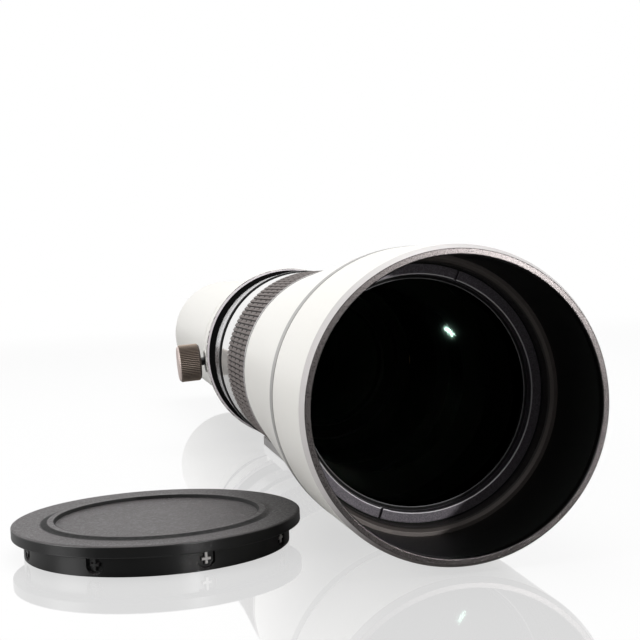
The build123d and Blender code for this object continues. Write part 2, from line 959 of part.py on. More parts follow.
with BuildPart() as compensator_pins:
    for turn in range(pin_count):
        turn_angle = (turn + 0.5) * math.tau / pin_count
        pin_plane = Plane(
            (0, compensator_centre, 0), x_dir=(0, 1, 0), z_dir=(math.cos(turn_angle), 0, math.sin(turn_angle))
        )
        with BuildSketch(pin_plane.offset(zoom_cell_radius)):
            Circle(cam_pin_radius)
        extrude(amount=cam_radius - 0.3 - zoom_cell_radius)
keep(compensator_pins, "compensator_pins")

# Rear barrel: solid front web on the zoom seat, then a long plain tube
with BuildPart() as rear_barrel:
    with BuildSketch(Plane.YZ):
        with BuildLine():
            Polyline(
                (zoom_end, zoom_seat_radius),
                (zoom_end, zoom_grip_radius),
                (zoom_end + 5.0, rear_barrel_radius - 0.5),
                (zoom_end + 6.0, rear_barrel_radius),
                (rear_end - 0.6, rear_barrel_radius),
                (rear_end, rear_barrel_radius - 0.6),
                (rear_end, rear_barrel_radius - rear_wall),
                (zoom_end + zoom_seat_tail, rear_barrel_radius - rear_wall),
                (zoom_end + zoom_seat_tail, zoom_seat_radius),
                close=True,
            )
        make_face()
    revolve(axis=Axis.Y)
keep(rear_barrel, "rear_barrel")

# Aperture stop, a thin black disc in the guide tube
stop_station = rear_end - stop_setback
with BuildPart() as aperture_stop:
    with BuildSketch(Plane.YZ):
        with BuildLine():
            Polyline(
                (stop_station, stop_bore),
                (stop_station, guide_bore),
                (stop_station + 1.2, guide_bore),
                (stop_station + 1.2, stop_bore),
                close=True,
            )
        make_face()
    revolve(axis=Axis.Y)
keep(aperture_stop, "aperture_stop")

# Rear cell, its lens and its retaining ring
rear_cell_front = rear_end - 2.0 - rear_cell_length
rear_lens_station = rear_cell_front + rear_lens_setback
rear_front_curve = curve(rear_front_bulge, rear_lens_radius)
rear_back_curve = curve(rear_back_bulge, rear_lens_radius)
rear_lip_radius = rear_lens_radius - lens_lip
rear_seat = rear_lens_station - (rear_lens_radius**2 - rear_lip_radius**2) / (2 * rear_front_curve) - 0.05
rear_lens_rear = rear_lens_station + rear_lens_edge
rear_ring_front = rear_lens_rear + (rear_lens_radius**2 - rear_lip_radius**2) / (2 * rear_back_curve) + 0.05
with BuildPart() as rear_cell:
    with BuildSketch(Plane.YZ):
        with BuildLine():
            Polyline(
                (rear_cell_front, rear_lip_radius),
                (rear_cell_front, guide_bore),
                (rear_cell_front + rear_cell_length, guide_bore),
                (rear_cell_front + rear_cell_length, rear_lens_radius),
                (rear_seat, rear_lens_radius),
                (rear_seat, rear_lip_radius),
                close=True,
            )
        make_face()
    revolve(axis=Axis.Y)
keep(rear_cell, "rear_cell")

with BuildPart() as rear_element:
    with BuildSketch(Plane.YZ):
        with BuildLine():
            RadiusArc(
                (rear_lens_station - rear_front_bulge, 0),
                (rear_lens_station, rear_lens_radius),
                rear_front_curve,
            )
            Line((rear_lens_station, rear_lens_radius), (rear_lens_rear, rear_lens_radius))
            RadiusArc((rear_lens_rear, rear_lens_radius), (rear_lens_rear + rear_back_bulge, 0), rear_back_curve)
            Line((rear_lens_rear + rear_back_bulge, 0), (rear_lens_station - rear_front_bulge, 0))
        make_face()
    revolve(axis=Axis.Y)
keep(rear_element, "rear_element")

with BuildPart() as rear_retaining_ring:
    with BuildSketch(Plane.YZ):
        with BuildLine():
            Polyline(
                (rear_ring_front, rear_lip_radius),
                (rear_ring_front, rear_lens_radius),
                (rear_ring_front + lens_ring_length, rear_lens_radius),
                (rear_ring_front + lens_ring_length, rear_lip_radius),
                close=True,
            )
        make_face()
    revolve(axis=Axis.Y)
keep(rear_retaining_ring, "rear_retaining_ring")

# Rear bezel that closes the tube and carries the mount
with BuildPart() as rear_bezel:
    with BuildSketch(Plane.YZ):
        with BuildLine():
            Line((rear_end, flange_radius - 3.0), (rear_end, rear_barrel_radius - 0.6))
            RadiusArc((rear_end, rear_barrel_radius - 0.6), (-flange_thickness, bezel_nose), bezel_curve)
            Line((-flange_thickness, bezel_nose), (-flange_thickness, flange_radius - 3.0))
            Line((-flange_thickness, flange_radius - 3.0), (rear_end, flange_radius - 3.0))
        make_face()
    revolve(axis=Axis.Y)
keep(rear_bezel, "rear_bezel")

# Rear mount with its M42 x 0.75 thread tail
with BuildPart() as rear_mount:
    with BuildSketch(Plane.YZ):
        with BuildLine():
            Polyline(
                (rear_end + 2.0, rear_bore + 1.0),
                (rear_end + 2.0, flange_radius - 3.0),
                (-flange_thickness, flange_radius - 3.0),
                (-flange_thickness, flange_radius),
                (-0.4, flange_radius),
                (0, flange_radius - 0.4),
                (0, mount_radius),
                (mount_length - 0.4, mount_radius),
                (mount_length, mount_radius - 0.4),
                (mount_length, rear_bore),
                (rear_end + 3.0, rear_bore),
                close=True,
            )
        make_face()
    revolve(axis=Axis.Y)
keep(rear_mount, "rear_mount")

# Tripod collar: turned ring with a front lip, a boss for the clamp screw and a saddle for the foot
clamp_station = flare_end + clamp_setback
clamp_direction = (-math.cos(math.radians(clamp_drop)), 0, -math.sin(math.radians(clamp_drop)))
clamp_plane = Plane((0, clamp_station, 0), x_dir=(0, 1, 0), z_dir=clamp_direction)
collar_front = flare_end + running_gap
collar_back = collar_end - running_gap
collar_bore = track_radius + running_gap
saddle_front = flare_end + 2.6
saddle_bottom = foot_bottom - foot_thickness
screw_spots = [(-foot_screw_spacing / 2, 0), (foot_screw_spacing / 2, 0)]
saddle_centre = saddle_front + saddle_length / 2
with BuildPart() as tripod_collar:
    with BuildSketch(Plane.YZ):
        with BuildLine():
            Polyline(
                (collar_front, collar_bore),
                (collar_front, collar_lip_radius - 0.3),
                (collar_front + 0.3, collar_lip_radius),
                (collar_front + 1.8, collar_lip_radius),
                (collar_front + 2.3, collar_radius),
                (collar_back - 0.5, collar_radius),
                (collar_back, collar_radius - 0.5),
                (collar_back, collar_bore),
                close=True,
            )
        make_face()
    revolve(axis=Axis.Y)
    with BuildSketch(Plane.XY.offset(-saddle_bottom)):
        with Locations((0, saddle_centre)):
            RectangleRounded(saddle_width, saddle_length, 1.5)
    extrude(amount=saddle_bottom - collar_bore + 8.0)
    with BuildSketch(clamp_plane.offset(collar_bore + 0.5)):
        Circle(boss_radius)
    extrude(amount=collar_radius + boss_height - collar_bore - 0.5)
    with BuildSketch(Plane.XZ.offset(-collar_front)):
        Circle(collar_bore)
    extrude(amount=-(collar_back - collar_front), mode=Mode.SUBTRACT)
    with BuildSketch(clamp_plane.offset(collar_bore - 2.0)):
        Circle(clamp_screw_radius + running_gap)
    extrude(amount=collar_radius - collar_bore + boss_height + 4.0, mode=Mode.SUBTRACT)
    with BuildSketch(Plane((0, saddle_centre, -saddle_bottom), x_dir=(1, 0, 0), z_dir=(0, 0, 1))):
        with Locations(*screw_spots):
            Circle(foot_screw_radius)
    extrude(amount=3.5, mode=Mode.SUBTRACT)
keep(tripod_collar, "tripod_collar")

# Tripod foot, a flat plate that reaches forward under the barrel
foot_back = flare_end + foot_setback
foot_centre = foot_back - foot_length / 2
bush_station = foot_back - bush_setback
with BuildPart() as tripod_foot:
    with BuildSketch(Plane.XY.offset(-foot_bottom)):
        with Locations((0, foot_centre)):
            RectangleRounded(foot_width, foot_length, 3.0)
    extrude(amount=foot_thickness)
    chamfer(tripod_foot.faces().sort_by(Axis.Z)[0].edges(), 0.5)
    with BuildSketch(Plane.XY.offset(-foot_bottom)):
        with Locations((0, bush_station)):
            Circle(bush_radius)
    extrude(amount=foot_thickness, mode=Mode.SUBTRACT)
    with Locations(Plane((0, saddle_centre, -foot_bottom), x_dir=(1, 0, 0), z_dir=(0, 0, -1))):
        with Locations(*screw_spots):
            CounterBoreHole(foot_screw_radius, foot_screw_head, foot_screw_head_height + 0.4, foot_thickness)
keep(tripod_foot, "tripod_foot")

# Two cap screws that hold the foot to the saddle
with BuildPart() as foot_screws:
    for spot_x, _ in screw_spots:
        head_base = -foot_bottom + 0.4 + foot_screw_head_height
        with BuildSketch(Plane.XY.offset(head_base - foot_screw_head_height)):
            with Locations((spot_x, saddle_centre)):
                Circle(foot_screw_head)
                RegularPolygon(1.7, 6, mode=Mode.SUBTRACT)
        extrude(amount=foot_screw_head_height - 0.6)
        with BuildSketch(Plane.XY.offset(head_base - 0.6)):
            with Locations((spot_x, saddle_centre)):
                Circle(foot_screw_head)
        extrude(amount=0.6)
        with BuildSketch(Plane.XY.offset(head_base)):
            with Locations((spot_x, saddle_centre)):
                Circle(foot_screw_radius)
        extrude(amount=foot_thickness - foot_screw_head_height - 0.4 + 3.0)
keep(foot_screws, "foot_screws")

# Steel bush with the 1/4 inch tripod thread
with BuildPart() as tripod_bush:
    with BuildSketch(Plane.XY.offset(-foot_bottom)):
        with Locations((0, bush_station)):
            Circle(bush_radius)
            Circle(tripod_hole_radius, mode=Mode.SUBTRACT)
    extrude(amount=foot_thickness)
keep(tripod_bush, "tripod_bush")

# Knurled clamp knob
knob_base = collar_radius + boss_height + knob_gap
tooth_step = math.tau / knob_teeth
with BuildPart() as clamp_knob:
    with BuildSketch(clamp_plane.offset(knob_base)):
        with BuildLine():
            Polyline(
                [
                    (radius * math.cos(tooth * tooth_step + edge), radius * math.sin(tooth * tooth_step + edge))
                    for tooth in range(knob_teeth)
                    for radius, edge in ((knob_radius, 0.0), (knob_radius - knob_tooth_depth, 0.5 * tooth_step))
                ],
                close=True,
            )
        make_face()
    extrude(amount=knob_length)
    with BuildSketch(Plane((0, clamp_station, 0), x_dir=clamp_direction, z_dir=(0, 1, 0))):
        with BuildLine():
            Polyline(
                (knob_base, 0),
                (knob_base, knob_radius - 1.2),
                (knob_base + 1.2, knob_radius + 0.1),
                (knob_base + knob_length - 1.2, knob_radius + 0.1),
                (knob_base + knob_length, knob_radius - 1.2),
                (knob_base + knob_length, 0),
                close=True,
            )
        make_face()
    revolve(axis=Axis((0, clamp_station, 0), clamp_direction), mode=Mode.INTERSECT)
    with BuildSketch(clamp_plane.offset(knob_base)):
        Circle(clamp_screw_radius)
    extrude(amount=6.0, mode=Mode.SUBTRACT)
keep(clamp_knob, "clamp_knob")

# Clamp screw from the knob through the boss to the barrel
with BuildPart() as clamp_screw:
    with BuildSketch(clamp_plane.offset(track_radius + running_gap)):
        Circle(clamp_screw_radius)
    extrude(amount=knob_base + 6.0 - track_radius - running_gap)
keep(clamp_screw, "clamp_screw")

# Front cap, moulded in one: flange with a recessed disc, and a skirt with shield-shaped pockets with a cross rib
cap_y = front + cap_from_rim
cap_base = Plane((cap_x, cap_y, -foot_bottom), x_dir=(1, 0, 0), z_dir=(0, -1, 0))
cap_axis = Axis((cap_x, cap_y, 0), (0, 0, 1))
cap_floor = cap_height - cap_disc_depth
pocket_top = cap_height - cap_flange - 0.6
pocket_half = cap_pocket_width / 2
pocket_outline = [
    (-pocket_half, pocket_top),
    (-pocket_half, cap_pocket_bottom + 2.3),
    (-0.65 * pocket_half, cap_pocket_bottom + 0.7),
    (0, cap_pocket_bottom),
    (0.65 * pocket_half, cap_pocket_bottom + 0.7),
    (pocket_half, cap_pocket_bottom + 2.3),
    (pocket_half, pocket_top),
]
with BuildPart() as front_cap:
    with BuildSketch(cap_base):
        with BuildLine():
            Polyline(
                (0, cap_floor - cap_wall),
                (cap_skirt_radius - cap_wall, cap_floor - cap_wall),
                (cap_skirt_radius - cap_wall, 0),
                (cap_skirt_radius, 0),
                (cap_skirt_radius, cap_height - cap_flange),
                (cap_radius - 0.4, cap_height - cap_flange),
                (cap_radius, cap_height - cap_flange + 0.4),
                (cap_radius, cap_height - 1.1),
                (cap_radius - 0.4, cap_height - 0.6),
                (cap_radius - 1.2, cap_height - 0.4),
                (cap_disc_radius + cap_ridge + 2.0, cap_height - 0.8),
                (cap_disc_radius + cap_ridge, cap_height),
                (cap_disc_radius + 0.8, cap_height),
                (cap_disc_radius, cap_height - 0.6),
                (cap_disc_radius, cap_floor),
                (0, cap_floor),
                close=True,
            )
        make_face()
    revolve(axis=cap_axis)
    for pocket in range(cap_pockets):
        pocket_angle = (pocket + 0.5) * math.tau / cap_pockets + math.radians(cap_pocket_turn)
        outward = (math.cos(pocket_angle), math.sin(pocket_angle))
        reach = cap_skirt_radius + 1.0
        pocket_plane = Plane(
            (cap_x + reach * outward[0], cap_y + reach * outward[1], -foot_bottom),
            x_dir=(outward[1], -outward[0], 0),
            z_dir=(-outward[0], -outward[1], 0),
        )
        with BuildSketch(pocket_plane):
            Polygon(*pocket_outline, align=None)
            with Locations((0, (pocket_top + cap_rib_bottom) / 2)):
                Rectangle(cap_rib_width, pocket_top - cap_rib_bottom, mode=Mode.SUBTRACT)
            with Locations((0, cap_bar_height)):
                Rectangle(cap_bar_length, cap_rib_width, mode=Mode.SUBTRACT)
        extrude(amount=1.0 + cap_pocket_depth, mode=Mode.SUBTRACT)
keep(front_cap, "front_cap")
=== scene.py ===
"""Looks of a long white telephoto zoom lens on its tripod foot, with its front cap lying beside it.

Lengths are metres, and mm turns millimetres into them. The optical axis is the Y axis, the hood looks
towards -Y, and y = 0 is the rear mounting flange, as in the solids.
"""

import math

import bmesh
import bpy
import numpy as np
from mathutils import Matrix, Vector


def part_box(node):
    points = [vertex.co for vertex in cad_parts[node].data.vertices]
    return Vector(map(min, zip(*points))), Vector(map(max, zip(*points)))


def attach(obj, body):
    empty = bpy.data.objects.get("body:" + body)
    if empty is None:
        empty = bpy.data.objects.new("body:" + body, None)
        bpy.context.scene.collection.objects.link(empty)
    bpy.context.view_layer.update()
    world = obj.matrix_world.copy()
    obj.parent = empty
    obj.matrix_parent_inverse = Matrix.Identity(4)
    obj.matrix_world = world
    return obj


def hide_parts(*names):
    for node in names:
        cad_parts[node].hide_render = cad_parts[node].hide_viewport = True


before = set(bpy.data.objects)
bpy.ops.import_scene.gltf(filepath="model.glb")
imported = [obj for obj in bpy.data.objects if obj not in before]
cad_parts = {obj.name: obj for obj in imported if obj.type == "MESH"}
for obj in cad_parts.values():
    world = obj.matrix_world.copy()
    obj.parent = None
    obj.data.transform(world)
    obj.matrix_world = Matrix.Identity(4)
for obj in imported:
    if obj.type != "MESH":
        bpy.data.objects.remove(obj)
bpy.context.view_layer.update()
mm = 0.001

# The photograph's camera. It stands in front of the hood, left of the axis and a little above it, and looks
# back along the barrel, slightly down and with the picture turned a little.
camera_place = (-118.3 * mm, -998.76 * mm, 43.96 * mm)
camera_heading = math.radians(12.28)
camera_pitch = math.radians(-3.662)
camera_roll = math.radians(-2.146)
picture_width = 640
focal_pixels = 1199.75
picture_centre = (342.16, 351.76)
optics = bpy.data.cameras.new("camera")
optics.sensor_width = 36.0
optics.lens = focal_pixels / picture_width * optics.sensor_width
optics.shift_x = (picture_width / 2 - picture_centre[0]) / picture_width
optics.shift_y = (picture_centre[1] - picture_width / 2) / picture_width
optics.clip_start = 10 * mm
camera = bpy.data.objects.new("camera", optics)
camera.matrix_world = (
    Matrix.Translation(camera_place)
    @ Matrix.Rotation(-camera_heading, 4, "Z")
    @ Matrix.Rotation(math.pi / 2 + camera_pitch, 4, "X")
    @ Matrix.Rotation(camera_roll, 4, "Z")
)
scene = bpy.context.scene
show = scene.collection.objects.link
show(camera)
scene.camera = camera
scene.view_settings.view_transform = "Standard"

# White studio table and light. The table is a glossy white sheet that shows a faint mirror image of what
# stands on it. A wide soft box hangs overhead and a second stands at the left, a small lamp far in front
# gives the glint in the glass, and the white surround is dark in front, where the photographer stands.


class Signal:
    """A number that runs through a material's nodes. Arithmetic on it adds Math nodes."""

    def __init__(self, finish, socket):
        self.finish = finish
        self.socket = socket

    def __add__(self, other):
        return self.finish.maths("ADD", self, other)

    __radd__ = __add__

    def __sub__(self, other):
        return self.finish.maths("SUBTRACT", self, other)

    def __rsub__(self, other):
        return self.finish.maths("SUBTRACT", other, self)

    def __mul__(self, other):
        return self.finish.maths("MULTIPLY", self, other)

    __rmul__ = __mul__

    def __truediv__(self, other):
        return self.finish.maths("DIVIDE", self, other)

    def clip(self, low, high):
        """0 before low, 1 past high and a smooth change between them; low may be the larger of the two."""
        limits = {"Value": self, "From Min": low, "From Max": high}
        return self.finish.node("ShaderNodeMapRange", {"interpolation_type": "SMOOTHSTEP"}, limits)

    def past(self, low, high):
        """clip with its limits in millimetres."""
        return self.clip(low * mm, high * mm)


class Recipe:
    """The node tree of a finish or of the surround, and the nodes it can add."""

    def __init__(self, tree):
        self.tree = tree

    def put(self, socket, value):
        """Sets a socket to a number or colour, or links a signal to it."""
        if isinstance(value, Signal):
            self.tree.links.new(value.socket, socket)
        elif socket.type == "RGBA":
            socket.default_value = (*value, 1.0)
        else:
            socket.default_value = value

    def node(self, kind, settings=None, inputs=None, output=0):
        """Adds a node, makes its settings, fills its sockets and returns one of its outputs as a signal."""
        made = self.tree.nodes.new(kind)
        for key, value in (settings or {}).items():
            setattr(made, key, value)
        for key, value in (inputs or {}).items():
            self.put(made.inputs[key], value)
        return Signal(self, made.outputs[output])

    def maths(self, operation, first, second=0.0):
        """A Math node."""
        return self.node("ShaderNodeMath", {"operation": operation}, {0: first, 1: second})

    def vector(self, operation, first, second=(0, 0, 0), output=0):
        """A Vector Math node; output is "Value" where its answer is a number."""
        return self.node("ShaderNodeVectorMath", {"operation": operation}, {0: first, 1: second}, output)

    def axis(self, name, vector=None):
        """The X, Y or Z part of a vector, or of the object coordinates."""
        return self.node("ShaderNodeSeparateXYZ", inputs={0: vector or self.place()}, output=name)

    def ray(self, kind):
        """1 for a light path of that kind, such as Camera or Glossy, and 0 for the others."""
        return self.node("ShaderNodeLightPath", output=f"Is {kind} Ray")

    def place(self, kind="Object"):
        """Object coordinates in metres, or another output of the Texture Coordinate node."""
        return self.node("ShaderNodeTexCoord", output=kind)

    def radial(self):
        """Object coordinates without their part along the optical axis."""
        return self.vector("MULTIPLY", self.place(), (1, 0, 1))

    def off_axis(self):
        """Distance from the optical axis, in metres."""
        return self.vector("LENGTH", self.radial(), output="Value")

    def inward(self):
        """1 where the surface faces the optical axis, as inside a tube, and 0 elsewhere."""
        facing = self.vector("DOT_PRODUCT", self.place("Normal"), self.radial(), "Value")
        return self.maths("LESS_THAN", facing, 0.0)

    def grain(self, size, detail=2.0, roughness=0.5):
        """Noise between 0 and 1 whose blotches are about size millimetres across."""
        noise = {"Vector": self.place(), "Scale": 1 / (size * mm), "Detail": detail, "Roughness": roughness}
        return self.node("ShaderNodeTexNoise", inputs=noise)

    def turning(self, scale, distortion, detail):
        """Fine lines round the optical axis, as a lathe leaves them."""
        wave = {"Vector": self.place(), "Scale": scale, "Distortion": distortion, "Detail": detail}
        return self.node("ShaderNodeTexWave", {"wave_type": "BANDS", "bands_direction": "Y"}, wave)

    def blend(self, first, second, factor):
        """The first colour where factor is 0 and the second where it is 1."""
        mixed = {"Factor": factor, 6: first, 7: second}
        return self.node("ShaderNodeMix", {"data_type": "RGBA"}, mixed, output=2)

    def bump(self, height, depth):
        """A normal whose relief is depth millimetres deep where height goes from 0 to 1."""
        return self.node("ShaderNodeBump", inputs={"Height": height, "Distance": depth * mm})


class Finish(Recipe):
    """One surface finish: a node material around a Principled shader, and the slot it stands for."""

    def __init__(self, name, slot=None):
        self.slot = slot
        self.material = bpy.data.materials.new(name)
        self.material.use_nodes = True
        super().__init__(self.material.node_tree)
        self.surface = self.tree.nodes["Principled BSDF"]
        self.end = self.tree.nodes["Material Output"]

    def shade(self, **sockets):
        """Fills the shader's sockets: base_color fills Base Color, and so on."""
        for key, value in sockets.items():
            label = key.replace("_", " ").title().replace("Ior", "IOR")
            self.put(self.surface.inputs[label], value)


table_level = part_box("tripod_foot")[0].z
table_reach = 6.0
table_front = -1.15
table_data = bpy.data.meshes.new("table")
table_sides = (-table_reach, table_reach)
table_corners = [(x, y, table_level) for y in (table_front, table_reach) for x in table_sides]
table_data.from_pydata(table_corners, [], [(0, 1, 3, 2)])
table = bpy.data.objects.new("table", table_data)
show(table)
sheet = Finish("white table sheet")
table_white = 0.8
table_bounce = 0.15
table_mirror = 0.29
shadow_share = 0.85
seen_directly = sheet.ray("Camera")
sheet_colour = sheet.blend((table_bounce,) * 3, (table_white,) * 3, seen_directly)
matt = sheet.node("ShaderNodeBsdfDiffuse", inputs={"Color": sheet_colour})
white = sheet.node("ShaderNodeEmission", inputs={"Color": (1.0,) * 3})
table_distance = sheet.vector("LENGTH", sheet.place(), output="Value")
lift = shadow_share + table_distance.clip(0.45, 1.6) * (1 - shadow_share)
lit = sheet.node("ShaderNodeMixShader", inputs={0: seen_directly * lift, 1: matt, 2: white})
mirror = sheet.node("ShaderNodeBsdfGlossy", inputs={"Color": (1.0,) * 3, "Roughness": 0.03})
glossy = sheet.node("ShaderNodeMixShader", inputs={0: table_mirror, 1: lit, 2: mirror})
sheet.put(sheet.end.inputs["Surface"], glossy)
table_data.materials.append(sheet.material)

surround = bpy.data.worlds.new("surround")
surround.use_nodes = True
scene.world = surround
surround_light = 0.55
dark_front = 0.98
unlit_front = 0.96
studio = Recipe(surround.node_tree)
way = studio.place("Generated")
forward = 1 - studio.axis("Y", way).clip(-0.65, -0.1)
low = 1 - studio.axis("Z", way).clip(0.3, 0.65)
reflected = studio.maths("MAXIMUM", studio.ray("Glossy"), studio.ray("Transmission"))
bright = studio.maths("MAXIMUM", reflected * (1 - dark_front * forward * low), studio.ray("Camera"))
lighting = surround_light * (1 - reflected) * (1 - unlit_front * forward * low)
backdrop = studio.tree.nodes["Background"]
studio.put(backdrop.inputs["Strength"], studio.maths("MAXIMUM", bright, lighting))
studio.put(backdrop.inputs["Color"], (1.0,) * 3)


def soft_box(name, place, target, size, watts, roll=0.0):
    """An area lamp of size (width, height) at place that faces target, turned by roll about its own axis."""
    lamp = bpy.data.lights.new(name, "AREA")
    lamp.shape = "RECTANGLE"
    lamp.size, lamp.size_y = size
    lamp.energy = watts
    box = bpy.data.objects.new(name, lamp)
    aim = np.subtract(target, place)
    heading = math.atan2(aim[1], aim[0])
    drop = math.atan2(-aim[2], math.hypot(aim[0], aim[1]))
    box.matrix_world = (
        Matrix.Translation(place)
        @ Matrix.Rotation(heading - math.pi / 2, 4, "Z")
        @ Matrix.Rotation(math.pi / 2 - drop, 4, "X")
        @ Matrix.Rotation(roll, 4, "Z")
    )
    show(box)


middle = (0.0, -0.4, 0.0)
soft_box("overhead soft box", (0.1, -0.3, 1.3), middle, (1.2, 1.2), 12.3)
soft_box("left soft box", (-1.3, -0.75, 0.55), middle, (0.7, 0.7), 9.6)
spark_target = (0.013, -0.58, 0.022)
spark_roll = math.radians(134.0)
soft_box("spark in the glass", (0.785, -2.415, 0.216), spark_target, (0.085, 0.028), 16.0, spark_roll)

# Front doublet. Two cemented glasses, ground and polished, with a green antireflection coating on the front
# surface. It lies in the cell against a shoulder and is seen through the hood as a nearly black disc.


def fillet(corners, radius, steps=4):
    """The profile through corners, rounded: each corner becomes a parabolic arc between the points one
    radius before and after it, with one more point a little further out on each run to keep its shading
    flat. A corner's third number is a radius of its own."""
    corner = np.array([c[:2] for c in corners]) * mm
    cut = np.array([c[2] if len(c) > 2 else radius for c in corners])[:, None] * mm
    cuts = []
    for step in (1, -1):
        along = np.roll(corner, step, axis=0) - corner
        length = np.linalg.norm(along, axis=1, keepdims=True)
        cuts.append(corner + along / length * np.minimum(cut, 0.4 * length))
    start, end = cuts
    share = np.linspace(0, 1, steps)[None, :, None]
    bend = 2 * share * (1 - share)
    arc = (1 - share) ** 2 * start[:, None] + bend * corner[:, None] + share**2 * end[:, None]
    guard_in = start + 0.15 * (start - corner)
    guard_out = end + 0.15 * (end - corner)
    return np.concatenate([guard_in[:, None], arc, guard_out[:, None]], axis=1).reshape(-1, 2)


def evenly(count, steps=(0,)):
    """Angles round a circle: the given steps, as shares of a sector, in each of count equal sectors."""
    return (np.arange(count)[:, None] + steps).ravel() * math.tau / count


circle = evenly(240)
lens_axis = ((0, 0, 0), (0, 1, 0), (1, 0, 0))


def turned(name, profile, finish, body, stands_for, axis=lens_axis, angles=None, relief=None):
    """A piece turned on a lathe. The closed profile of (height, radius) points is carried round the axis,
    which is (a point on it, its direction, the direction of angle 0), and relief(height, radius, angle)
    may change both for every point. The seam is closed and the faces point out."""
    angles = circle if angles is None else np.unique(np.round(np.mod(angles, math.tau), 6))
    height, angle = np.meshgrid(profile[:, 0], angles)
    radius, _ = np.meshgrid(profile[:, 1], angles)
    if relief:
        height, radius = relief(height, radius, angle)
    point, along, across = np.array(axis, float)
    outward = np.cos(angle)[..., None] * across + np.sin(angle)[..., None] * np.cross(along, across)
    grid = point + height[..., None] * along + radius[..., None] * outward
    index = np.arange(height.size).reshape(height.shape)
    beside = np.roll(index, -1, 1)
    quads = np.stack([index, beside, np.roll(beside, -1, 0), np.roll(index, -1, 0)], axis=-1).reshape(-1, 4)
    corners = grid.reshape(-1, 3)[quads]
    middle = corners.mean(axis=1)
    normal = np.cross(corners[:, 2] - corners[:, 0], corners[:, 3] - corners[:, 1])
    if (middle * normal).sum() < 0:
        quads = quads[:, ::-1]
    piece(name, grid.reshape(-1, 3), quads.tolist(), finish, body, stands_for)


sharp_edge = math.radians(35.0)
same_point = 0.5e-6


def piece(name, points, faces, finish, body, stands_for):
    """Makes the mesh without doubled points and empty faces, hangs the piece on its body's empty and hides
    the solids it stands for.
    """
    data = bpy.data.meshes.new(name)
    data.from_pydata(points, [], faces)
    mesh = bmesh.new()
    mesh.from_mesh(data)
    bmesh.ops.remove_doubles(mesh, verts=mesh.verts, dist=same_point)
    bmesh.ops.dissolve_degenerate(mesh, edges=mesh.edges, dist=same_point)
    loose = [corner for corner in mesh.verts if not corner.link_faces]
    bmesh.ops.delete(mesh, geom=loose, context="VERTS")
    mesh.to_mesh(data)
    mesh.free()
    data.shade_smooth()
    data.set_sharp_from_angle(angle=sharp_edge)
    data.materials.append(finish.material)
    made = bpy.data.objects.new(name, data)
    show(made)
    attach(made, body)
    if stands_for:
        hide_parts(*stands_for)


def ends(node):
    """Front station, rear station and outer radius of a turned CAD node, in millimetres."""
    low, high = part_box(node)
    return low.y / mm, high.y / mm, high.z / mm


crown_front, _, glass_radius = ends("crown_element")
flint_back = ends("flint_element")[1]
front_curve = 280.0
front_edge = crown_front + front_curve - math.sqrt(front_curve**2 - glass_radius**2)
across_glass = np.linspace(0, glass_radius - 0.3, 40)
front_station = crown_front + front_curve - np.sqrt(front_curve**2 - across_glass**2)
front_surface = np.stack([front_station, across_glass], axis=1) * mm
glass_rim = fillet([(front_edge, glass_radius), (flint_back, glass_radius), (flint_back, 0.0)], 0.25)[3:-3]
doublet_profile = np.concatenate([front_surface, glass_rim, [(flint_back * mm, 0.0)]])
coated = Finish("coated glass", "coated_glass")
coated.shade(
    base_color=(0.93, 1.0, 0.95),
    roughness=0.04,
    ior=1.17,
    transmission_weight=1.0,
    specular_tint=(0.1, 0.17, 0.135),
)
turned("front_doublet", doublet_profile, coated, "barrel", ["crown_element", "flint_element"])

# Objective cell and its retaining ring. Turned aluminium, dark anodised; the ring screws down on the glass
# and has two narrow slots for a spanner wrench, and its bright inner edge is chamfered.
ring_front, ring_back, ring_outer = ends("front_retaining_ring")
ring_bore = 43.1
ring_bevel = 0.55
lip_bore = ring_bore - 1.4
slot_half = 0.5
slot_depth = 1.4
slot_turn = math.radians(110.4)


def spanner_slots(height, radius, angle):
    """The ring's front face drops to the slots' floor within half a slot of their common line."""
    off_line = np.abs(radius * np.sin(angle - slot_turn))
    floor = (ring_front + slot_depth) * mm
    return np.where(off_line < slot_half * mm, np.maximum(height, floor), height), radius


slot_steps = np.array([0.5, 0.9, 0.99, 1.02, 1.1, 1.5]) * slot_half / ring_bore / math.pi
slot_angles = slot_turn + evenly(2, [*slot_steps, *-slot_steps])
dark_ring = Finish("dark anodised ring", "ring_grey")
ring_grain = dark_ring.grain(0.35, 3.0)
from_axis = dark_ring.off_axis()
in_bevel = from_axis.past(ring_bore + 0.03, ring_bore + 0.1)
bared = in_bevel * from_axis.past(ring_bore + ring_bevel, ring_bore + 0.8 * ring_bevel)
in_lip = from_axis.past(ring_bore - 0.03, ring_bore - 0.1)
lip_edge = from_axis.past(lip_bore + 0.3, lip_bore + 0.22)
ring_colour = dark_ring.blend((0.085, 0.076, 0.087), (0.17, 0.153, 0.175), ring_grain.clip(0.35, 0.7))
lip_colour = dark_ring.blend((0.004,) * 3, (0.3, 0.3, 0.31), lip_edge)
worn_colour = dark_ring.blend(ring_colour, (0.5, 0.49, 0.5), bared)
dark_ring.shade(
    base_color=dark_ring.blend(worn_colour, lip_colour, in_lip),
    metallic=0.4 + 0.6 * bared - 0.4 * in_lip,
    roughness=0.36 + 0.14 * ring_grain + 0.5 * in_lip * (1 - lip_edge),
    normal=dark_ring.bump(ring_grain, 0.02),
)
ring_corners = [
    (ring_front, ring_bore + ring_bevel, 0.08),
    (ring_front, ring_outer, 0.15),
    (ring_back, ring_outer, 0.15),
    (ring_back, ring_bore, 0.05),
    (ring_back - 0.25, lip_bore, 0.03),
    (ring_back - 0.4, lip_bore + 0.05, 0.03),
    (ring_back - 0.6, lip_bore + 0.25, 0.03),
    (ring_back - 0.6, ring_bore, 0.05),
    (ring_front + 0.8, ring_bore, 0.1),
    (ring_front + 0.15, ring_bore + 0.3 * ring_bevel, 0.12),
]
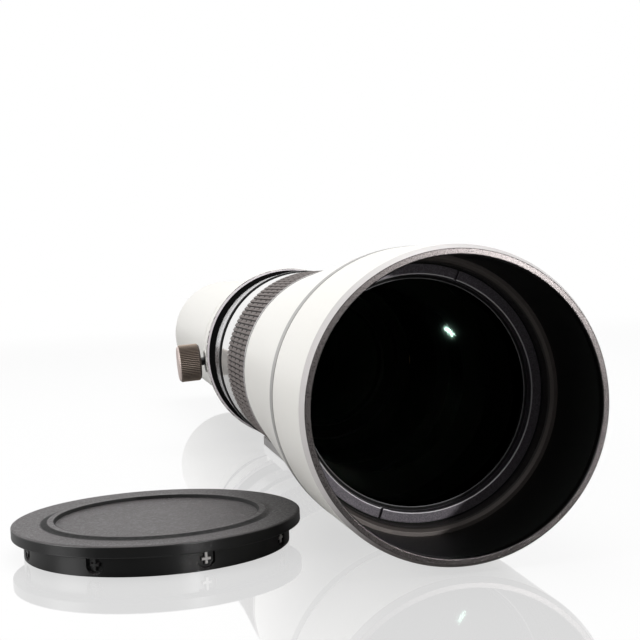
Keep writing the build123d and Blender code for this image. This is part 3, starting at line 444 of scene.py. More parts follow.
turned(
    "glass_retaining_ring",
    fillet(ring_corners, 0.1),
    dark_ring,
    "barrel",
    ["front_retaining_ring"],
    angles=np.concatenate([circle, slot_angles]),
    relief=spanner_slots,
)

# Filter ring in front of the cell. Brown-grey anodised aluminium with a fine 95 mm inside thread and a
# chamfered mouth; it is pressed into the front of the barrel.


def ridges(start, end, near, pitch, depth):
    """Relief of a screw thread: a wave that climbs one pitch in each turn, on the part of a piece within
    a fifth of a millimetre of the radius near. A negative depth cuts an inside thread outwards."""

    def relief(height, radius, angle):
        phase = np.mod((height - start * mm) / (pitch * mm) - angle / math.tau, 1.0)
        wave = np.abs(2 * phase - 1)
        from_end = np.minimum(height - start * mm, end * mm - height)
        on = (np.abs(radius - near * mm) < 0.2 * mm) * np.clip(from_end / (0.5 * mm), 0, 1)
        return height, radius - depth * mm * wave * on

    return relief


def run(start, end, radius, step):
    """Points along a straight run of a profile, close enough for a thread's relief."""
    count = max(2, round(abs(end - start) / step))
    return np.stack([np.linspace(start, end, count), np.full(count, radius)], axis=1) * mm


filter_front, filter_back, filter_outer = ends("filter_ring")
filter_bore = 47.5
filter_mouth = 49.1
filter_seat = filter_front + 1.6
filter_step = 49.5
thread_pitch = 1.0
thread_depth = 0.45
brown = Finish("brown grey anodised", "ring_grey")
brown_grain = brown.grain(0.3, 3.0)
mouth_colour = brown.blend((0.09, 0.078, 0.072), (0.16, 0.14, 0.13), brown_grain)
mouth = brown.off_axis().past(filter_bore + 0.5, filter_bore + 0.65)
brown.shade(
    base_color=brown.blend((0.04, 0.036, 0.034), mouth_colour, mouth),
    metallic=0.4,
    roughness=0.4 + 0.1 * brown_grain,
    normal=brown.bump(brown_grain, 0.01),
)
filter_corners = [
    (filter_back, filter_bore),
    (filter_seat, filter_bore),
    (filter_front, filter_mouth),
    (filter_front, filter_outer),
    (filter_seat + 0.4, filter_outer),
    (filter_seat + 0.4, filter_step),
    (filter_back, filter_step),
]
thread_run = run(filter_back - 0.1, filter_seat + 0.1, filter_bore, 0.08)
filter_profile = np.concatenate([fillet(filter_corners, 0.1)[5:], thread_run])
turned(
    "filter_thread_ring",
    filter_profile,
    brown,
    "barrel",
    ["filter_ring"],
    angles=evenly(360),
    relief=ridges(filter_seat, filter_back, filter_bore, thread_pitch, -thread_depth),
)

# Objective cell behind the ring. Blackened aluminium with a shoulder for the glass; only its front edge
# shows.


def mottled(name, slot, size, detail, first, second, rough, spread, depth, **sockets):
    """A finish that runs between two colours with its grain of size millimetres, which also spreads its
    roughness and dents it by depth millimetres."""
    finish = Finish(name, slot)
    grain = finish.grain(size, detail)
    colour = finish.blend(first, second, grain)
    dents = finish.bump(grain, depth)
    finish.shade(base_color=colour, roughness=rough + spread * grain, normal=dents, **sockets)
    return finish


def dress(finish, *nodes):
    """Gives a finish to solids that are shown as they are."""
    for node in nodes:
        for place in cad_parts[node].material_slots:
            place.material = finish.material


paint_dark = (0.006, 0.007, 0.006)
paint_light = (0.014, 0.015, 0.014)
inner_black = mottled(
    "black inner paint", None, 0.5, 4.0, paint_dark, paint_light, 0.5, 0.2, 0.02, specular_ior_level=0.12
)
dress(inner_black, "front_cell", "light_baffle", "aperture_stop")

# Tapered front barrel. An aluminium tube turned to a long taper and sprayed with warm white enamel, which
# has a faint orange peel and a fine sparkle.
enamel = Finish("warm white enamel", "white_enamel")
peel = enamel.grain(1.6)
sparkle = enamel.grain(0.22, 1.0)
enamel_colour = enamel.blend((0.76, 0.745, 0.705), (0.83, 0.815, 0.775), 0.5 * peel + 0.5 * sparkle)
enamel.shade(
    base_color=enamel.blend(enamel_colour, (0.01,) * 3, enamel.inward()),
    roughness=0.3 + 0.15 * sparkle,
    normal=enamel.bump(peel + 0.35 * sparkle, 0.04),
    specular_ior_level=0.45,
)
_, cell_end, cell_radius = ends("front_cell")
hood_front, trim_end, hood_radius = ends("hood_trim_ring")
focus_front, focus_rear, focus_lip = ends("focus_ring")
spigot_radius = 51.3
taper_end = 46.5
barrel_bore = 44.7
bore_depth = 13.0
barrel_front = filter_front + 2.0
barrel_corners = [
    (barrel_front, cell_radius),
    (barrel_front, spigot_radius),
    (trim_end, spigot_radius),
    (trim_end, hood_radius - 0.2),
    (trim_end + 0.4, hood_radius, 0.5),
    (focus_front - 0.4, taper_end),
    (focus_front - 0.4, barrel_bore),
    (focus_front - bore_depth, barrel_bore),
    (cell_end, cell_radius),
]
turned("tapered_barrel", fillet(barrel_corners, 0.15), enamel, "barrel", ["front_barrel"])

# Trim ring between hood and barrel. Aluminium with a light grey finish, and a fine groove turned at its
# front edge where the hood meets it.
grey_dark = (0.3, 0.29, 0.285)
grey_light = (0.42, 0.41, 0.4)
grey_anodised = mottled(
    "light grey anodised", "trim_grey", 0.25, 2.0, grey_dark, grey_light, 0.34, 0.12, 0.01, metallic=0.3
)
groove = 0.6
groove_floor = hood_radius - groove - 0.1
trim_corners = [
    (hood_front, spigot_radius),
    (hood_front, groove_floor),
    (hood_front + groove, groove_floor),
    (hood_front + groove, hood_radius),
    (trim_end, hood_radius),
    (trim_end, spigot_radius),
]
turned("trim_ring", fillet(trim_corners, 0.12), grey_anodised, "barrel", ["hood_trim_ring"])

# Hood. A spun aluminium tube in the same white enamel, which widens a little to the rear and screws on the
# barrel.
front, rim_rear, rim_radius = ends("hood_rim_ring")
rim_end = ends("hood_shell")[0]
shell_corners = [
    (rim_end, spigot_radius),
    (rim_end, rim_radius),
    (hood_front, hood_radius - 0.1),
    (hood_front, spigot_radius),
]
turned("hood_tube", fillet(shell_corners, 0.15), enamel, "barrel", ["hood_shell"])

# Lining of the hood. A thin black sleeve, satin enough to show a dull band of light at the bottom, with
# faint turning lines round it.
lining = Finish("satin black lining", "black_anodised")
lining_lines = lining.turning(320.0, 1.5, 2.0)
lining_grain = lining.grain(0.6, 3.0)
lining.shade(
    base_color=lining.blend((0.003, 0.0034, 0.003), (0.006, 0.0065, 0.006), lining_grain),
    roughness=0.38 + 0.12 * lining_grain,
    normal=lining.bump(0.5 * lining_lines + 0.5 * lining_grain, 0.012),
    specular_ior_level=0.3,
)
lining_start, lining_end, _ = ends("hood_lining")
lining_bore = 50.5


def tube(start, end, radius, bore, edge):
    """Profile of a plain ring, or of a disc where its bore is 0, between two stations."""
    return fillet([(start, bore), (start, radius), (end, radius), (end, bore)], edge)


lining_profile = tube(lining_start, lining_end, spigot_radius, lining_bore, 0.1)
turned("hood_lining_sleeve", lining_profile, lining, "barrel", ["hood_lining"])

# Rim ring. A turned ring screwed into the front of the hood: its face is a speckled taupe grey, the narrow
# bevel outside it is bare and light, with painted shade darkening it underneath, and the mouth that the cap
# pushes into is black.
rim = Finish("speckled rim", "rim_grey")
rim_speckle = rim.grain(0.35, 4.0, 0.65)
rim_reach = rim.off_axis()
face_radius = 51.2
mouth_radius = 49.1
rim_face = rim.blend((0.061, 0.054, 0.053), (0.122, 0.11, 0.109), rim_speckle.clip(0.35, 0.65))
bevel = rim_reach.past(face_radius + 0.02, face_radius + 0.1)
throat = 1 - rim_reach.past(mouth_radius + 0.12, mouth_radius + 0.3)
# Painted shade: the bevel's colour runs from light at the top to dark underneath.
bevel_painted_shade_mask = rim.axis("Z").past(-48.0, -22.0)
bevel_colour_with_painted_shade = rim.blend((0.14, 0.125, 0.12), (0.58, 0.555, 0.55), bevel_painted_shade_mask)
outside_colour_with_painted_shade = rim.blend(rim_face, bevel_colour_with_painted_shade, bevel)
rim.shade(
    base_color=rim.blend(outside_colour_with_painted_shade, (0.012,) * 3, throat),
    metallic=0.85 * (1 - bevel),
    roughness=0.25 + 0.06 * rim_speckle + 0.15 * bevel,
    normal=rim.bump(rim_speckle, 0.012),
)
rim_corners = [
    (front, mouth_radius + 0.3),
    (front, face_radius, 0.2),
    (rim_end, rim_radius),
    (rim_end, spigot_radius),
    (rim_rear, spigot_radius),
    (rim_rear, lining_bore),
    (rim_end, mouth_radius),
    (front + 0.3, mouth_radius),
]
turned("rim_ring", fillet(rim_corners, 0.1), rim, "barrel", ["hood_rim_ring"])

# Fixed main barrel. One turned aluminium tube under all the rings, anodised black; only the floor of the
# groove behind the focusing ring shows.
anodised = Finish("black anodised", "black_anodised")
anodised_grain = anodised.grain(0.3, 3.0)
turning = anodised.turning(900.0, 2.0, 1.0)
anodised.shade(
    base_color=anodised.blend((0.007, 0.0065, 0.0065), (0.014, 0.013, 0.013), anodised_grain),
    roughness=0.46 + 0.15 * anodised_grain,
    specular_ior_level=0.1,
    normal=anodised.bump(0.6 * turning + 0.4 * anodised_grain, 0.006),
)
dress(anodised, "main_barrel")

# Bright ring behind the groove. Turned aluminium left bare, with the turning lines of a fine feed round it;
# only its front face is coloured near-black and matt, as painted shade.
bare = Finish("bright turned aluminium", "bright_ring")
feed = bare.turning(1400.0, 1.0, 2.0)
scale_front, scale_rear, scale_radius = ends("scale_ring")
# Painted shade: the narrow front face is coloured near-black instead of bare metal.
front_face_painted_shade = 1 - bare.axis("Y").past(scale_front + 0.3, scale_front + 0.5)
bare_metal = bare.blend((0.72, 0.71, 0.72), (0.86, 0.85, 0.86), bare.grain(0.8, 3.0))
bare.shade(
    base_color=bare.blend(bare_metal, (0.006,) * 3, front_face_painted_shade),
    metallic=1 - front_face_painted_shade,
    roughness=0.16 + 0.08 * feed + 0.5 * front_face_painted_shade,
    normal=bare.bump(feed, 0.003),
)
deck_radius = 44.6
scale_rear_radius = 46.0
scale_corners = [
    (scale_front, deck_radius),
    (scale_front, scale_radius - 0.4),
    (scale_front + 0.4, scale_radius),
    (scale_rear, scale_rear_radius),
    (scale_rear, deck_radius),
]
turned("bright_ring", fillet(scale_corners, 0.12), bare, "barrel", ["scale_ring"])

# Black flared ring that the tripod collar stops against. Its hollow flank rises to the height of the collar
# lip; it is painted matt black up to a narrow bare edge.
flare_front, flare_rear, flare_radius = ends("flare_ring")
flank = Finish("matt black flank", "black_anodised")
flank_grain = flank.grain(0.4, 3.0)
flank_edge = flank.off_axis().past(flare_radius - 0.75, flare_radius - 0.65)
flank_black = flank.blend((0.003,) * 3, (0.006,) * 3, flank_grain)
flank.shade(
    base_color=flank.blend(flank_black, (0.56, 0.52, 0.54), flank_edge),
    roughness=0.5 + 0.15 * flank_grain,
    normal=flank.bump(flank_grain, 0.01),
    specular_ior_level=0.0,
)
flare_edge = 1.0
flare_run = flare_rear - flare_edge - flare_front
flare_foot = scale_rear_radius - 0.2
hollow_bend = 1.35
hollow = [
    (flare_front + flare_run * share, flare_foot + (flare_radius - flare_foot) * share**hollow_bend)
    for share in np.linspace(0, 1, 13)
]
flare_corners = [(flare_front, deck_radius), *hollow, (flare_rear, flare_radius), (flare_rear, deck_radius)]
turned("flared_ring", fillet(flare_corners, 0.15, steps=3), flank, "barrel", ["flare_ring"])

# Ring behind the tripod collar. Turned aluminium, anodised black; it is screwed to the barrel and keeps the
# collar on its track.
retainer_front, retainer_rear, retainer_radius = ends("collar_retainer")
track_radius = 43.5
bevel_size = 1.0
retainer_corners = [
    (retainer_front, track_radius),
    (retainer_front, retainer_radius),
    (retainer_rear - bevel_size, retainer_radius),
    (retainer_rear, retainer_radius - bevel_size),
    (retainer_rear, track_radius),
]
turned("collar_lock_ring", fillet(retainer_corners, 0.15), anodised, "barrel", ["collar_retainer"])

# Focusing ring. A turned sleeve with a lip in front, the seat of the rubber grip, and a plain band in glossy
# white behind it. Three helical slots in its inner sleeve drive the focusing cell.
gloss = Finish("glossy white enamel", "white_gloss")
gloss_grain = gloss.grain(3.0)
grip_front, grip_rear, pad_top = ends("focus_grip")
on_lip = 1 - gloss.axis("Y").past(grip_front - 0.05, grip_front + 0.05)
gloss_white = gloss.blend((0.62, 0.61, 0.595), (0.67, 0.66, 0.645), gloss_grain)
gloss.shade(
    base_color=gloss.blend(gloss_white, (0.4, 0.385, 0.385), on_lip),
    roughness=0.08 + 0.05 * gloss_grain,
    coat_weight=0.6,
    coat_roughness=0.03,
    normal=gloss.bump(gloss_grain, 0.01),
)
sleeve_radius = 43.2
grip_seat = 44.3
focus_band_front = 45.6
focus_band = 46.3
focus_corners = [
    (focus_front, sleeve_radius),
    (focus_front, focus_lip),
    (grip_front, focus_lip),
    (grip_front, grip_seat),
    (grip_rear, grip_seat),
    (grip_rear, focus_band_front),
    (focus_rear - 0.4, focus_band),
    (focus_rear, focus_band - 0.4),
    (focus_rear, sleeve_radius),
]
turned("focusing_sleeve", fillet(focus_corners, 0.15), gloss, "focusing_ring", ["focus_ring"])

# Rubber grip of the focusing ring. A moulded band stretched over its seat: rows of long raised pads in four
# columns, dusty grey on top, with painted shade making the grooves between them nearly black.
rubber = Finish("grip rubber", "grip_rubber")
rubber_grain = rubber.grain(0.4, 3.0)
pad_height = 0.7
pad_root = pad_top - pad_height
# Painted shade: below the pad tops the rubber is coloured nearly black.
clear_of_groove_painted_shade = rubber.off_axis().past(pad_root + 0.2, pad_top - 0.1)
pad_colour = rubber.blend((0.1, 0.085, 0.08), (0.16, 0.135, 0.127), rubber_grain)
rubber.shade(
    base_color=rubber.blend((0.012, 0.009, 0.008), pad_colour, clear_of_groove_painted_shade),
    roughness=0.6 + 0.2 * rubber_grain,
    normal=rubber.bump(rubber_grain, 0.05),
)
pad_columns = 4
pad_rows = 120
pad_gap = 3.2
pad_pitch = (grip_rear - grip_front) / pad_columns
pad_half = 0.4
pad_ramp = 0.3
pad_slope = 0.06
notch_end = 0.08
web_share = 0.7
row_angle = math.tau / pad_rows


def raised(radius, seat, relief, rise):
    """The radius, with relief millimetres times the sine of rise quarter turns added outside the seat."""
    outside = radius > (seat + 0.3) * mm
    return radius + outside * relief * mm * np.sin(rise * math.pi / 2)


def band(stations, seat, root):
    """Profile of a rubber band on its seat, with points at the given stations of its outside."""
    outside = [(station, root) for station in stations]
    return np.array([(stations[0], seat), *outside, (stations[-1], seat)]) * mm


def rubber_pads(height, radius, angle):
    """Raises the band's outside by one pad height inside each pad, with steep rounded sides. A lower web
    joins the pads of a row, so only a short notch at one side parts them."""
    along = np.mod(height / mm - grip_front, pad_pitch)
    from_end = np.minimum(along, pad_pitch - along) - pad_gap / 2
    step = np.mod(angle / row_angle + 0.5, 1.0) - 0.5
    across = pad_half - np.abs(step)
    web = web_share * np.clip((notch_end - step) / pad_slope, 0, 1)
    rise = np.clip(np.minimum(np.maximum(from_end / pad_ramp, web), across / pad_slope), 0, 1)
    return height, raised(radius, grip_seat, pad_height, rise)


ramp_steps = [pad_gap / 2 + step for step in (-0.1, 0.0, 0.15, pad_ramp)]
pad_steps = [*ramp_steps, pad_pitch / 2, *(pad_pitch - step for step in reversed(ramp_steps))]
pad_stations = (grip_front + np.arange(pad_columns)[:, None] * pad_pitch + pad_steps).ravel()
row_steps = (-0.42, -0.4, -0.37, -0.34, 0.02, 0.05, 0.08, 0.09, 0.34, 0.37, 0.4, 0.42, 0.5)
turned(
    "focusing_grip",
    band([grip_front, *pad_stations, grip_rear], grip_seat, pad_root),
    rubber,
    "focusing_ring",
    ["focus_grip"],
    angles=evenly(pad_rows, row_steps),
    relief=rubber_pads,
)

# Focusing drive inside the ring. The brass sleeve's helical slots push three steel pins, and with them the
# cell of the focusing lens, along straight slots in the barrel.
brass_dark = (0.62, 0.42, 0.16)
brass_light = (0.75, 0.54, 0.24)
turned_brass = mottled(
    "turned brass", None, 0.5, 3.0, brass_dark, brass_light, 0.22, 0.15, 0.01, metallic=1.0
)
steel_dark = (0.42, 0.41, 0.4)
steel_light = (0.56, 0.55, 0.54)
turned_steel = mottled(
    "turned steel", "pin_steel", 0.3, 3.0, steel_dark, steel_light, 0.2, 0.15, 0.008, metallic=1.0
)
dress(turned_brass, "focus_cam_sleeve")
dress(turned_steel, "focus_pins")
dress(anodised, "focus_cell", "focus_retaining_ring")


def ground_lens(name, node, body, front_bulge, back_bulge):
    """A ground lens between its solid's stations. Each face bulges by so many millimetres, or is hollow
    where the number is negative."""
    front_station, back_station, radius = ends(node)
    front_edge = front_station + max(front_bulge, 0)
    back_edge = back_station - max(back_bulge, 0)
    heights = np.linspace(0, radius - 0.2, 24)
    share = 1 - (heights / radius) ** 2
    front_face = np.stack([front_edge - front_bulge * share, heights], axis=1)
    back_face = np.stack([back_edge + back_bulge * share, heights], axis=1)
    edge = [(front_edge, radius - 0.02), (front_edge + 0.2, radius), (back_edge - 0.2, radius)]
    edge += [(back_edge, radius - 0.02)]
    profile = np.concatenate([front_face, edge, back_face[::-1]]) * mm
    turned(name, profile, coated, body, [node])


ground_lens("focusing_lens", "focus_element", "focusing_cell", -3.0, -3.0)

# Zoom drive. The brass cam tube turns round the black guide tube, and its slots draw two lens cells along it
# by steel pins.
dress(turned_brass, "cam_tube")
dress(inner_black, "guide_tube", "variator_cell", "compensator_cell", "rear_cell", "rear_retaining_ring")
dress(turned_steel, "variator_pins", "compensator_pins", "zoom_keys")
ground_lens("variator_lens", "variator_element", "variator", -2.5, -2.5)
ground_lens("compensator_lens", "compensator_element", "compensator", 2.5, 2.5)

# Zoom ring behind the collar. A black anodised sleeve with plain lips, and a rubber band with sixty straight
# ribs.
zoom_front, zoom_rear, zoom_radius = ends("zoom_ring")
zoom_bore = 36.8
zoom_seat = 38.0
zoom_lip = 2.0
band_front = zoom_front + zoom_lip
band_rear = zoom_rear - zoom_lip
zoom_corners = [
    (zoom_front, zoom_bore),
    (zoom_front, zoom_radius),
    (band_front, zoom_radius),
    (band_front, zoom_seat),
    (band_rear, zoom_seat),
    (band_rear, zoom_radius),
    (zoom_rear, zoom_radius),
    (zoom_rear, zoom_bore),
]
turned("zoom_sleeve", fillet(zoom_corners, 0.2), anodised, "zoom_drive", ["zoom_ring"])
zoom_ribs = 60
rib_height = 0.7
rib_sink = 0.3
rib_share = 0.3
rib_slope = 0.1
rib_ramp = 0.6
rib_angle = math.tau / zoom_ribs


def zoom_rubber_ribs(height, radius, angle):
    """Raises straight ribs on the band's outside, lower at the ends."""
    across = rib_share - np.abs(np.mod(angle / rib_angle + 0.5, 1.0) - 0.5)
    from_end = np.minimum(height / mm - band_front, band_rear - height / mm)
    rise = np.clip(np.minimum(across / rib_slope, from_end / rib_ramp), 0, 1)
    return height, raised(radius, zoom_seat, rib_height, rise)


band_root = zoom_radius - rib_height - rib_sink
band_steps = np.array([0.0, 0.2, 0.4, 0.6, 1.0])
band_stations = [*(band_front + band_steps), *(band_rear - band_steps[::-1])]
rib_steps = (-0.32, -0.3, -0.25, -0.2, 0, 0.2, 0.25, 0.3, 0.32, 0.5)
turned(
    "zoom_band",
    band(band_stations, zoom_seat, band_root),
    rubber,
    "zoom_drive",
    ["zoom_grip"],
    angles=evenly(zoom_ribs, rib_steps),
    relief=zoom_rubber_ribs,
)

# Rear barrel. A long plain tube turned from aluminium, in white enamel, that swells from the zoom ring to
# its full diameter.
_, drum_rear, drum_radius = ends("rear_barrel")
drum_front = zoom_rear + 0.3
zoom_deck = 36.5
drum_bore = drum_radius - 1.8
drum_corners = [
    (drum_front, zoom_deck),
    (drum_front, zoom_radius),
    (drum_front + 5.0, drum_radius - 0.5),
    (drum_front + 6.0, drum_radius),
    (drum_rear - 0.6, drum_radius),
    (drum_rear, drum_radius - 0.6),
    (drum_rear, drum_bore),
    (drum_front + 8.0, drum_bore),
    (drum_front + 8.0, zoom_deck),
]
turned("rear_drum", fillet(drum_corners, 0.3), enamel, "barrel", ["rear_barrel"])

# Rear bezel. A turned aluminium dome, anodised black, that is screwed into the rear barrel and closes it
# round the mount.
bezel_rear = ends("rear_bezel")[1]
bezel_nose = 33.0
bezel_bore = 24.0
shoulder = drum_radius - 0.6
dome_turn = np.linspace(0, math.pi / 2, 11)
dome_station = drum_rear + (bezel_rear - drum_rear) * np.sin(dome_turn)
dome = np.stack([dome_station, bezel_nose + (shoulder - bezel_nose) * np.cos(dome_turn)], axis=1)
bezel_profile = fillet([(drum_rear, bezel_bore), *dome, (bezel_rear, bezel_bore)], 0.2, steps=3)
turned("rear_dome", bezel_profile, anodised, "barrel", ["rear_bezel"])

# Mount. Turned steel with a flat flange and a 42 mm thread of 0.75 mm pitch that screws into the camera
# adapter.
mount_front, mount_rear, _ = ends("rear_mount")
flange_radius = 27.0
thread_radius = 21.0
mount_bore = 18.0
mount_pitch = 0.75
mount_corners = [
    (0.0, thread_radius, 0.1),
    (0.0, flange_radius, 0.4),
    (bezel_rear, flange_radius),
    (bezel_rear, bezel_bore, 0.1),
    (mount_front, bezel_bore),
    (mount_front, mount_bore + 1.0),
    (mount_front + 1.0, mount_bore),
    (mount_rear, mount_bore),
    (mount_rear, thread_radius - 0.4, 0.1),
    (mount_rear - 0.4, thread_radius, 0.1),
]
mount_run = run(mount_rear - 0.5, 0.15, thread_radius, 0.06)
mount_profile = np.concatenate([fillet(mount_corners, 0.2)[5:], mount_run])
turned(
    "mount_thread_ring",
    mount_profile,
    turned_steel,
    "barrel",
    ["rear_mount"],
    angles=evenly(300),
    relief=ridges(0.3, mount_rear - 0.4, thread_radius, mount_pitch, 0.4),
)
ground_lens("rear_lens", "rear_element", "barrel", 2.5, 1.5)

# Tripod collar. A turned aluminium ring in white enamel that turns round the barrel, with a lip in front, a
# saddle below for the foot and a boss at the side for the clamp screw.
collar_front, collar_rear, _ = ends("tripod_collar")
collar_bore = 43.8
collar_lip = 48.9
lip_length = 1.8
collar_radius = 46.9
collar_corners = [
    (collar_front, collar_bore),
    (collar_front, collar_lip),
    (collar_front + lip_length, collar_lip),
    (collar_front + lip_length + 0.5, collar_radius, 0.3),
    (collar_rear, collar_radius, 0.5),
    (collar_rear, collar_bore),
]
turned("collar_ring", fillet(collar_corners, 0.25), enamel, "collar", ["tripod_collar"])
clamp_station = collar_front + 12.9
clamp_drop = math.radians(3.5)
clamp_axis = ((0, clamp_station * mm, 0), (-math.cos(clamp_drop), 0, -math.sin(clamp_drop)), (0, 1, 0))
boss_radius = 6.5
boss_top = 48.6
screw_radius = 2.3
boss_bore = screw_radius + 0.3
boss_foot = collar_bore + 0.8
boss_corners = [
    (boss_foot, boss_bore),
    (boss_foot, boss_radius),
    (boss_top, boss_radius, 0.5),
    (boss_top, boss_bore),
]
turned("clamp_boss", fillet(boss_corners, 0.2), enamel, "collar", [], axis=clamp_axis, angles=evenly(72))


def rounded_block(name, low, high, corner, edge, finish, body, stands_for):
    """A block whose upright edges are rounded by corner and the others by edge, in millimetres."""
    low, high = np.array([low, high], float)
    turns = np.linspace(0, math.pi / 2, 8)
    sides = ((1, 1), (-1, 1), (-1, -1), (1, -1))
    quarters = [(side, turn) for quarter, side in enumerate(sides) for turn in turns + quarter * math.pi / 2]
    outline = np.array([(*side, math.cos(turn), math.sin(turn)) for side, turn in quarters])
    centre = (low + high) / 2
    half = (high - low) / 2
    rises = np.array([0.0, 0.0, 0.0, 0.3 * edge, edge, edge + 0.3])
    insets = [half[0] * 0.6, edge + 0.3, edge, 0.3 * edge, 0.0, 0.0]
    levels = [*(low[2] + rises), *(high[2] - rises[::-1])]
    rings = []
    for level, inset in zip(levels, insets + insets[::-1]):
        arc = max(corner - inset, 0.05)
        x = centre[0] + outline[:, 0] * (half[0] - inset - arc) + outline[:, 2] * arc
        y = centre[1] + outline[:, 1] * (half[1] - min(inset, half[1] * 0.6) - arc) + outline[:, 3] * arc
        rings.append(np.stack([x, y, np.full(len(x), level)], axis=1))
    points = np.concatenate(rings) * mm
    index = np.arange(len(points)).reshape(-1, len(outline))
    beside = np.roll(index, -1, 1)
    quads = np.stack([index[:-1], beside[:-1], beside[1:], index[1:]], axis=-1).reshape(-1, 4)
    faces = [index[0, ::-1].tolist(), index[-1].tolist(), *quads.tolist()]
    piece(name, points, faces, finish, body, stands_for)


foot_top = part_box("tripod_foot")[1].z / mm
saddle_middle = clamp_station - 3.6
saddle_top = -44.4
saddle_half = (14.0, 7.0)
saddle_low = (-saddle_half[0], saddle_middle - saddle_half[1], foot_top)
saddle_high = (saddle_half[0], saddle_middle + saddle_half[1], saddle_top)
rounded_block("foot_saddle", saddle_low, saddle_high, 1.5, 0.3, enamel, "collar", [])

# Foot. A flat aluminium plate with rounded corners that reaches forward under the barrel, screwed to the
# saddle by two blackened screws, with a steel bush for the tripod's 1/4 inch screw. Its grey is painted
# shade, for the shade it lies in under the barrel.
oxide_dark = (0.012, 0.012, 0.013)
oxide_light = (0.035, 0.034, 0.034)
oxide_black = mottled(
    "black oxide", "screw_black", 0.3, 3.0, oxide_dark, oxide_light, 0.3, 0.2, 0.01, metallic=0.7
)
foot_dark = (0.3, 0.295, 0.29)
foot_light = (0.38, 0.37, 0.365)
# Painted shade: the foot is coloured mid grey.
foot_grey_painted_shade = mottled("grey foot painted shade", None, 0.4, 3.0, foot_dark, foot_light, 0.38, 0.15, 0.03)
dress(foot_grey_painted_shade, "tripod_foot")
dress(oxide_black, "foot_screws")
dress(turned_steel, "tripod_bush")

# Clamp knob and its screw. The knob is turned from aluminium in a warm grey, bevelled at both ends and
# knurled straight along its length; the screw is blackened steel.
knob_base = 51.4
knob_end = 64.1
knob_radius = 10.7
knob_bevel = 1.2
knob_teeth = 60
tooth_depth = 0.5
taupe = Finish("taupe grey anodised", "knob_taupe")
taupe_grain = taupe.grain(0.4, 3.0)
from_clamp = taupe.vector("SUBTRACT", taupe.place(), clamp_axis[0])
along_clamp = taupe.vector("DOT_PRODUCT", from_clamp, clamp_axis[1], "Value")
across_clamp = taupe.vector("CROSS_PRODUCT", from_clamp, clamp_axis[1])
off_clamp = taupe.vector("LENGTH", across_clamp, output="Value")
# Painted shade darkens the knurl's grooves, and painted light makes the flat outer end face lighter.
crest = off_clamp.past(knob_radius - 0.8 * tooth_depth, knob_radius)
knurl_colour_with_painted_shade = taupe.blend((0.05, 0.036, 0.03), (0.34, 0.27, 0.215), crest * (0.7 + 0.6 * taupe_grain))
end_face_painted_light = along_clamp.past(knob_end - knob_bevel + 0.1, knob_end - knob_bevel + 0.6)
taupe.shade(
    base_color=taupe.blend(knurl_colour_with_painted_shade, (0.6, 0.5, 0.46), end_face_painted_light),
    metallic=0.3,
    roughness=0.36 + 0.15 * taupe_grain,
    normal=taupe.bump(taupe_grain, 0.02),
)


def knurl(height, radius, angle):
    """Cuts straight V grooves into the rim of the knob."""
    across = np.abs(np.mod(angle * knob_teeth / math.tau, 1.0) - 0.5) * 2
    return height, np.minimum(radius, (knob_radius - tooth_depth * across) * mm)


knob_corners = [
    (knob_base, 0.0, 0.2),
    (knob_base, knob_radius - knob_bevel),
    (knob_base + knob_bevel, knob_radius),
    (knob_end - knob_bevel, knob_radius),
    (knob_end, knob_radius - knob_bevel),
    (knob_end, 0.0, 0.2),
]
turned(
    "knurled_knob",
    fillet(knob_corners, 0.3),
    taupe,
    "knob",
    ["clamp_knob"],
    axis=clamp_axis,
    angles=evenly(4 * knob_teeth),
    relief=knurl,
)
shank = tube(collar_bore, knob_base + 6.0, screw_radius, 0.0, 0.3)
turned("clamp_shank", shank, oxide_black, "knob", ["clamp_screw"], axis=clamp_axis, angles=evenly(48))

# Front cap. One moulding in grained black plastic that pushes into the rim: a flange with a raised ridge
# round a sunken disc, and a skirt with eight shield-shaped pockets, each stiffened by a cross rib. Painted
# shade darkens the near flank of the ridge, the edge of the sunken disc and the +X side of the cap, and a
# painted highlight lightens the cross ribs on its +X side.
cap_low, cap_high = np.array(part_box("front_cap")) / mm
cap_centre = (cap_low + cap_high) / 2
cap_axis = ((cap_centre[0] * mm, cap_centre[1] * mm, cap_low[2] * mm), (0, 0, 1), (1, 0, 0))
cap_height = cap_high[2] - cap_low[2]
cap_radius = (cap_high[0] - cap_low[0]) / 2
skirt_radius = 48.9
skirt_wall = 2.0
flange_bottom = 7.3
pocket_count = 8
pocket_turn = math.radians(-7.0)
pocket_half = 3.2
pocket_top = 6.7
pocket_bottom = 0.9
pocket_point = 2.3
pocket_bend = 2.6
pocket_ramp = 0.2
pocket_depth = 1.2
rib_half = 0.45
rib_bottom = 2.3
bar_level = 4.1
bar_half = 1.6
pocket_angle = math.tau / pocket_count
ridge_foot = 42.1
ridge_crest = 40.3
recess_radius = 37.5
recess_floor = 10.6
under_flange = 8.7
plastic = Finish("grained black plastic", "cap_plastic")
pitted = plastic.grain(1.3, 4.0, 0.8).clip(0.42, 0.58)
dusty = plastic.grain(14.0, 3.0, 0.6)
from_cap = plastic.vector("SUBTRACT", plastic.place(), cap_axis[0])
cap_x, cap_y, level = (plastic.axis(name, from_cap) for name in "XYZ")
grained = plastic.axis("Z", plastic.place("Normal")).clip(0.6, 0.9)
off_middle = plastic.vector("MULTIPLY", from_cap, (1, 1, 0))
from_middle = plastic.vector("LENGTH", off_middle, output="Value")


def ring_mask(inner, inner_full, outer_full, outer):
    """1 between the two full radii round the cap's middle, and 0 within inner and beyond outer."""
    return from_middle.past(inner, inner_full) * from_middle.past(outer, outer_full)


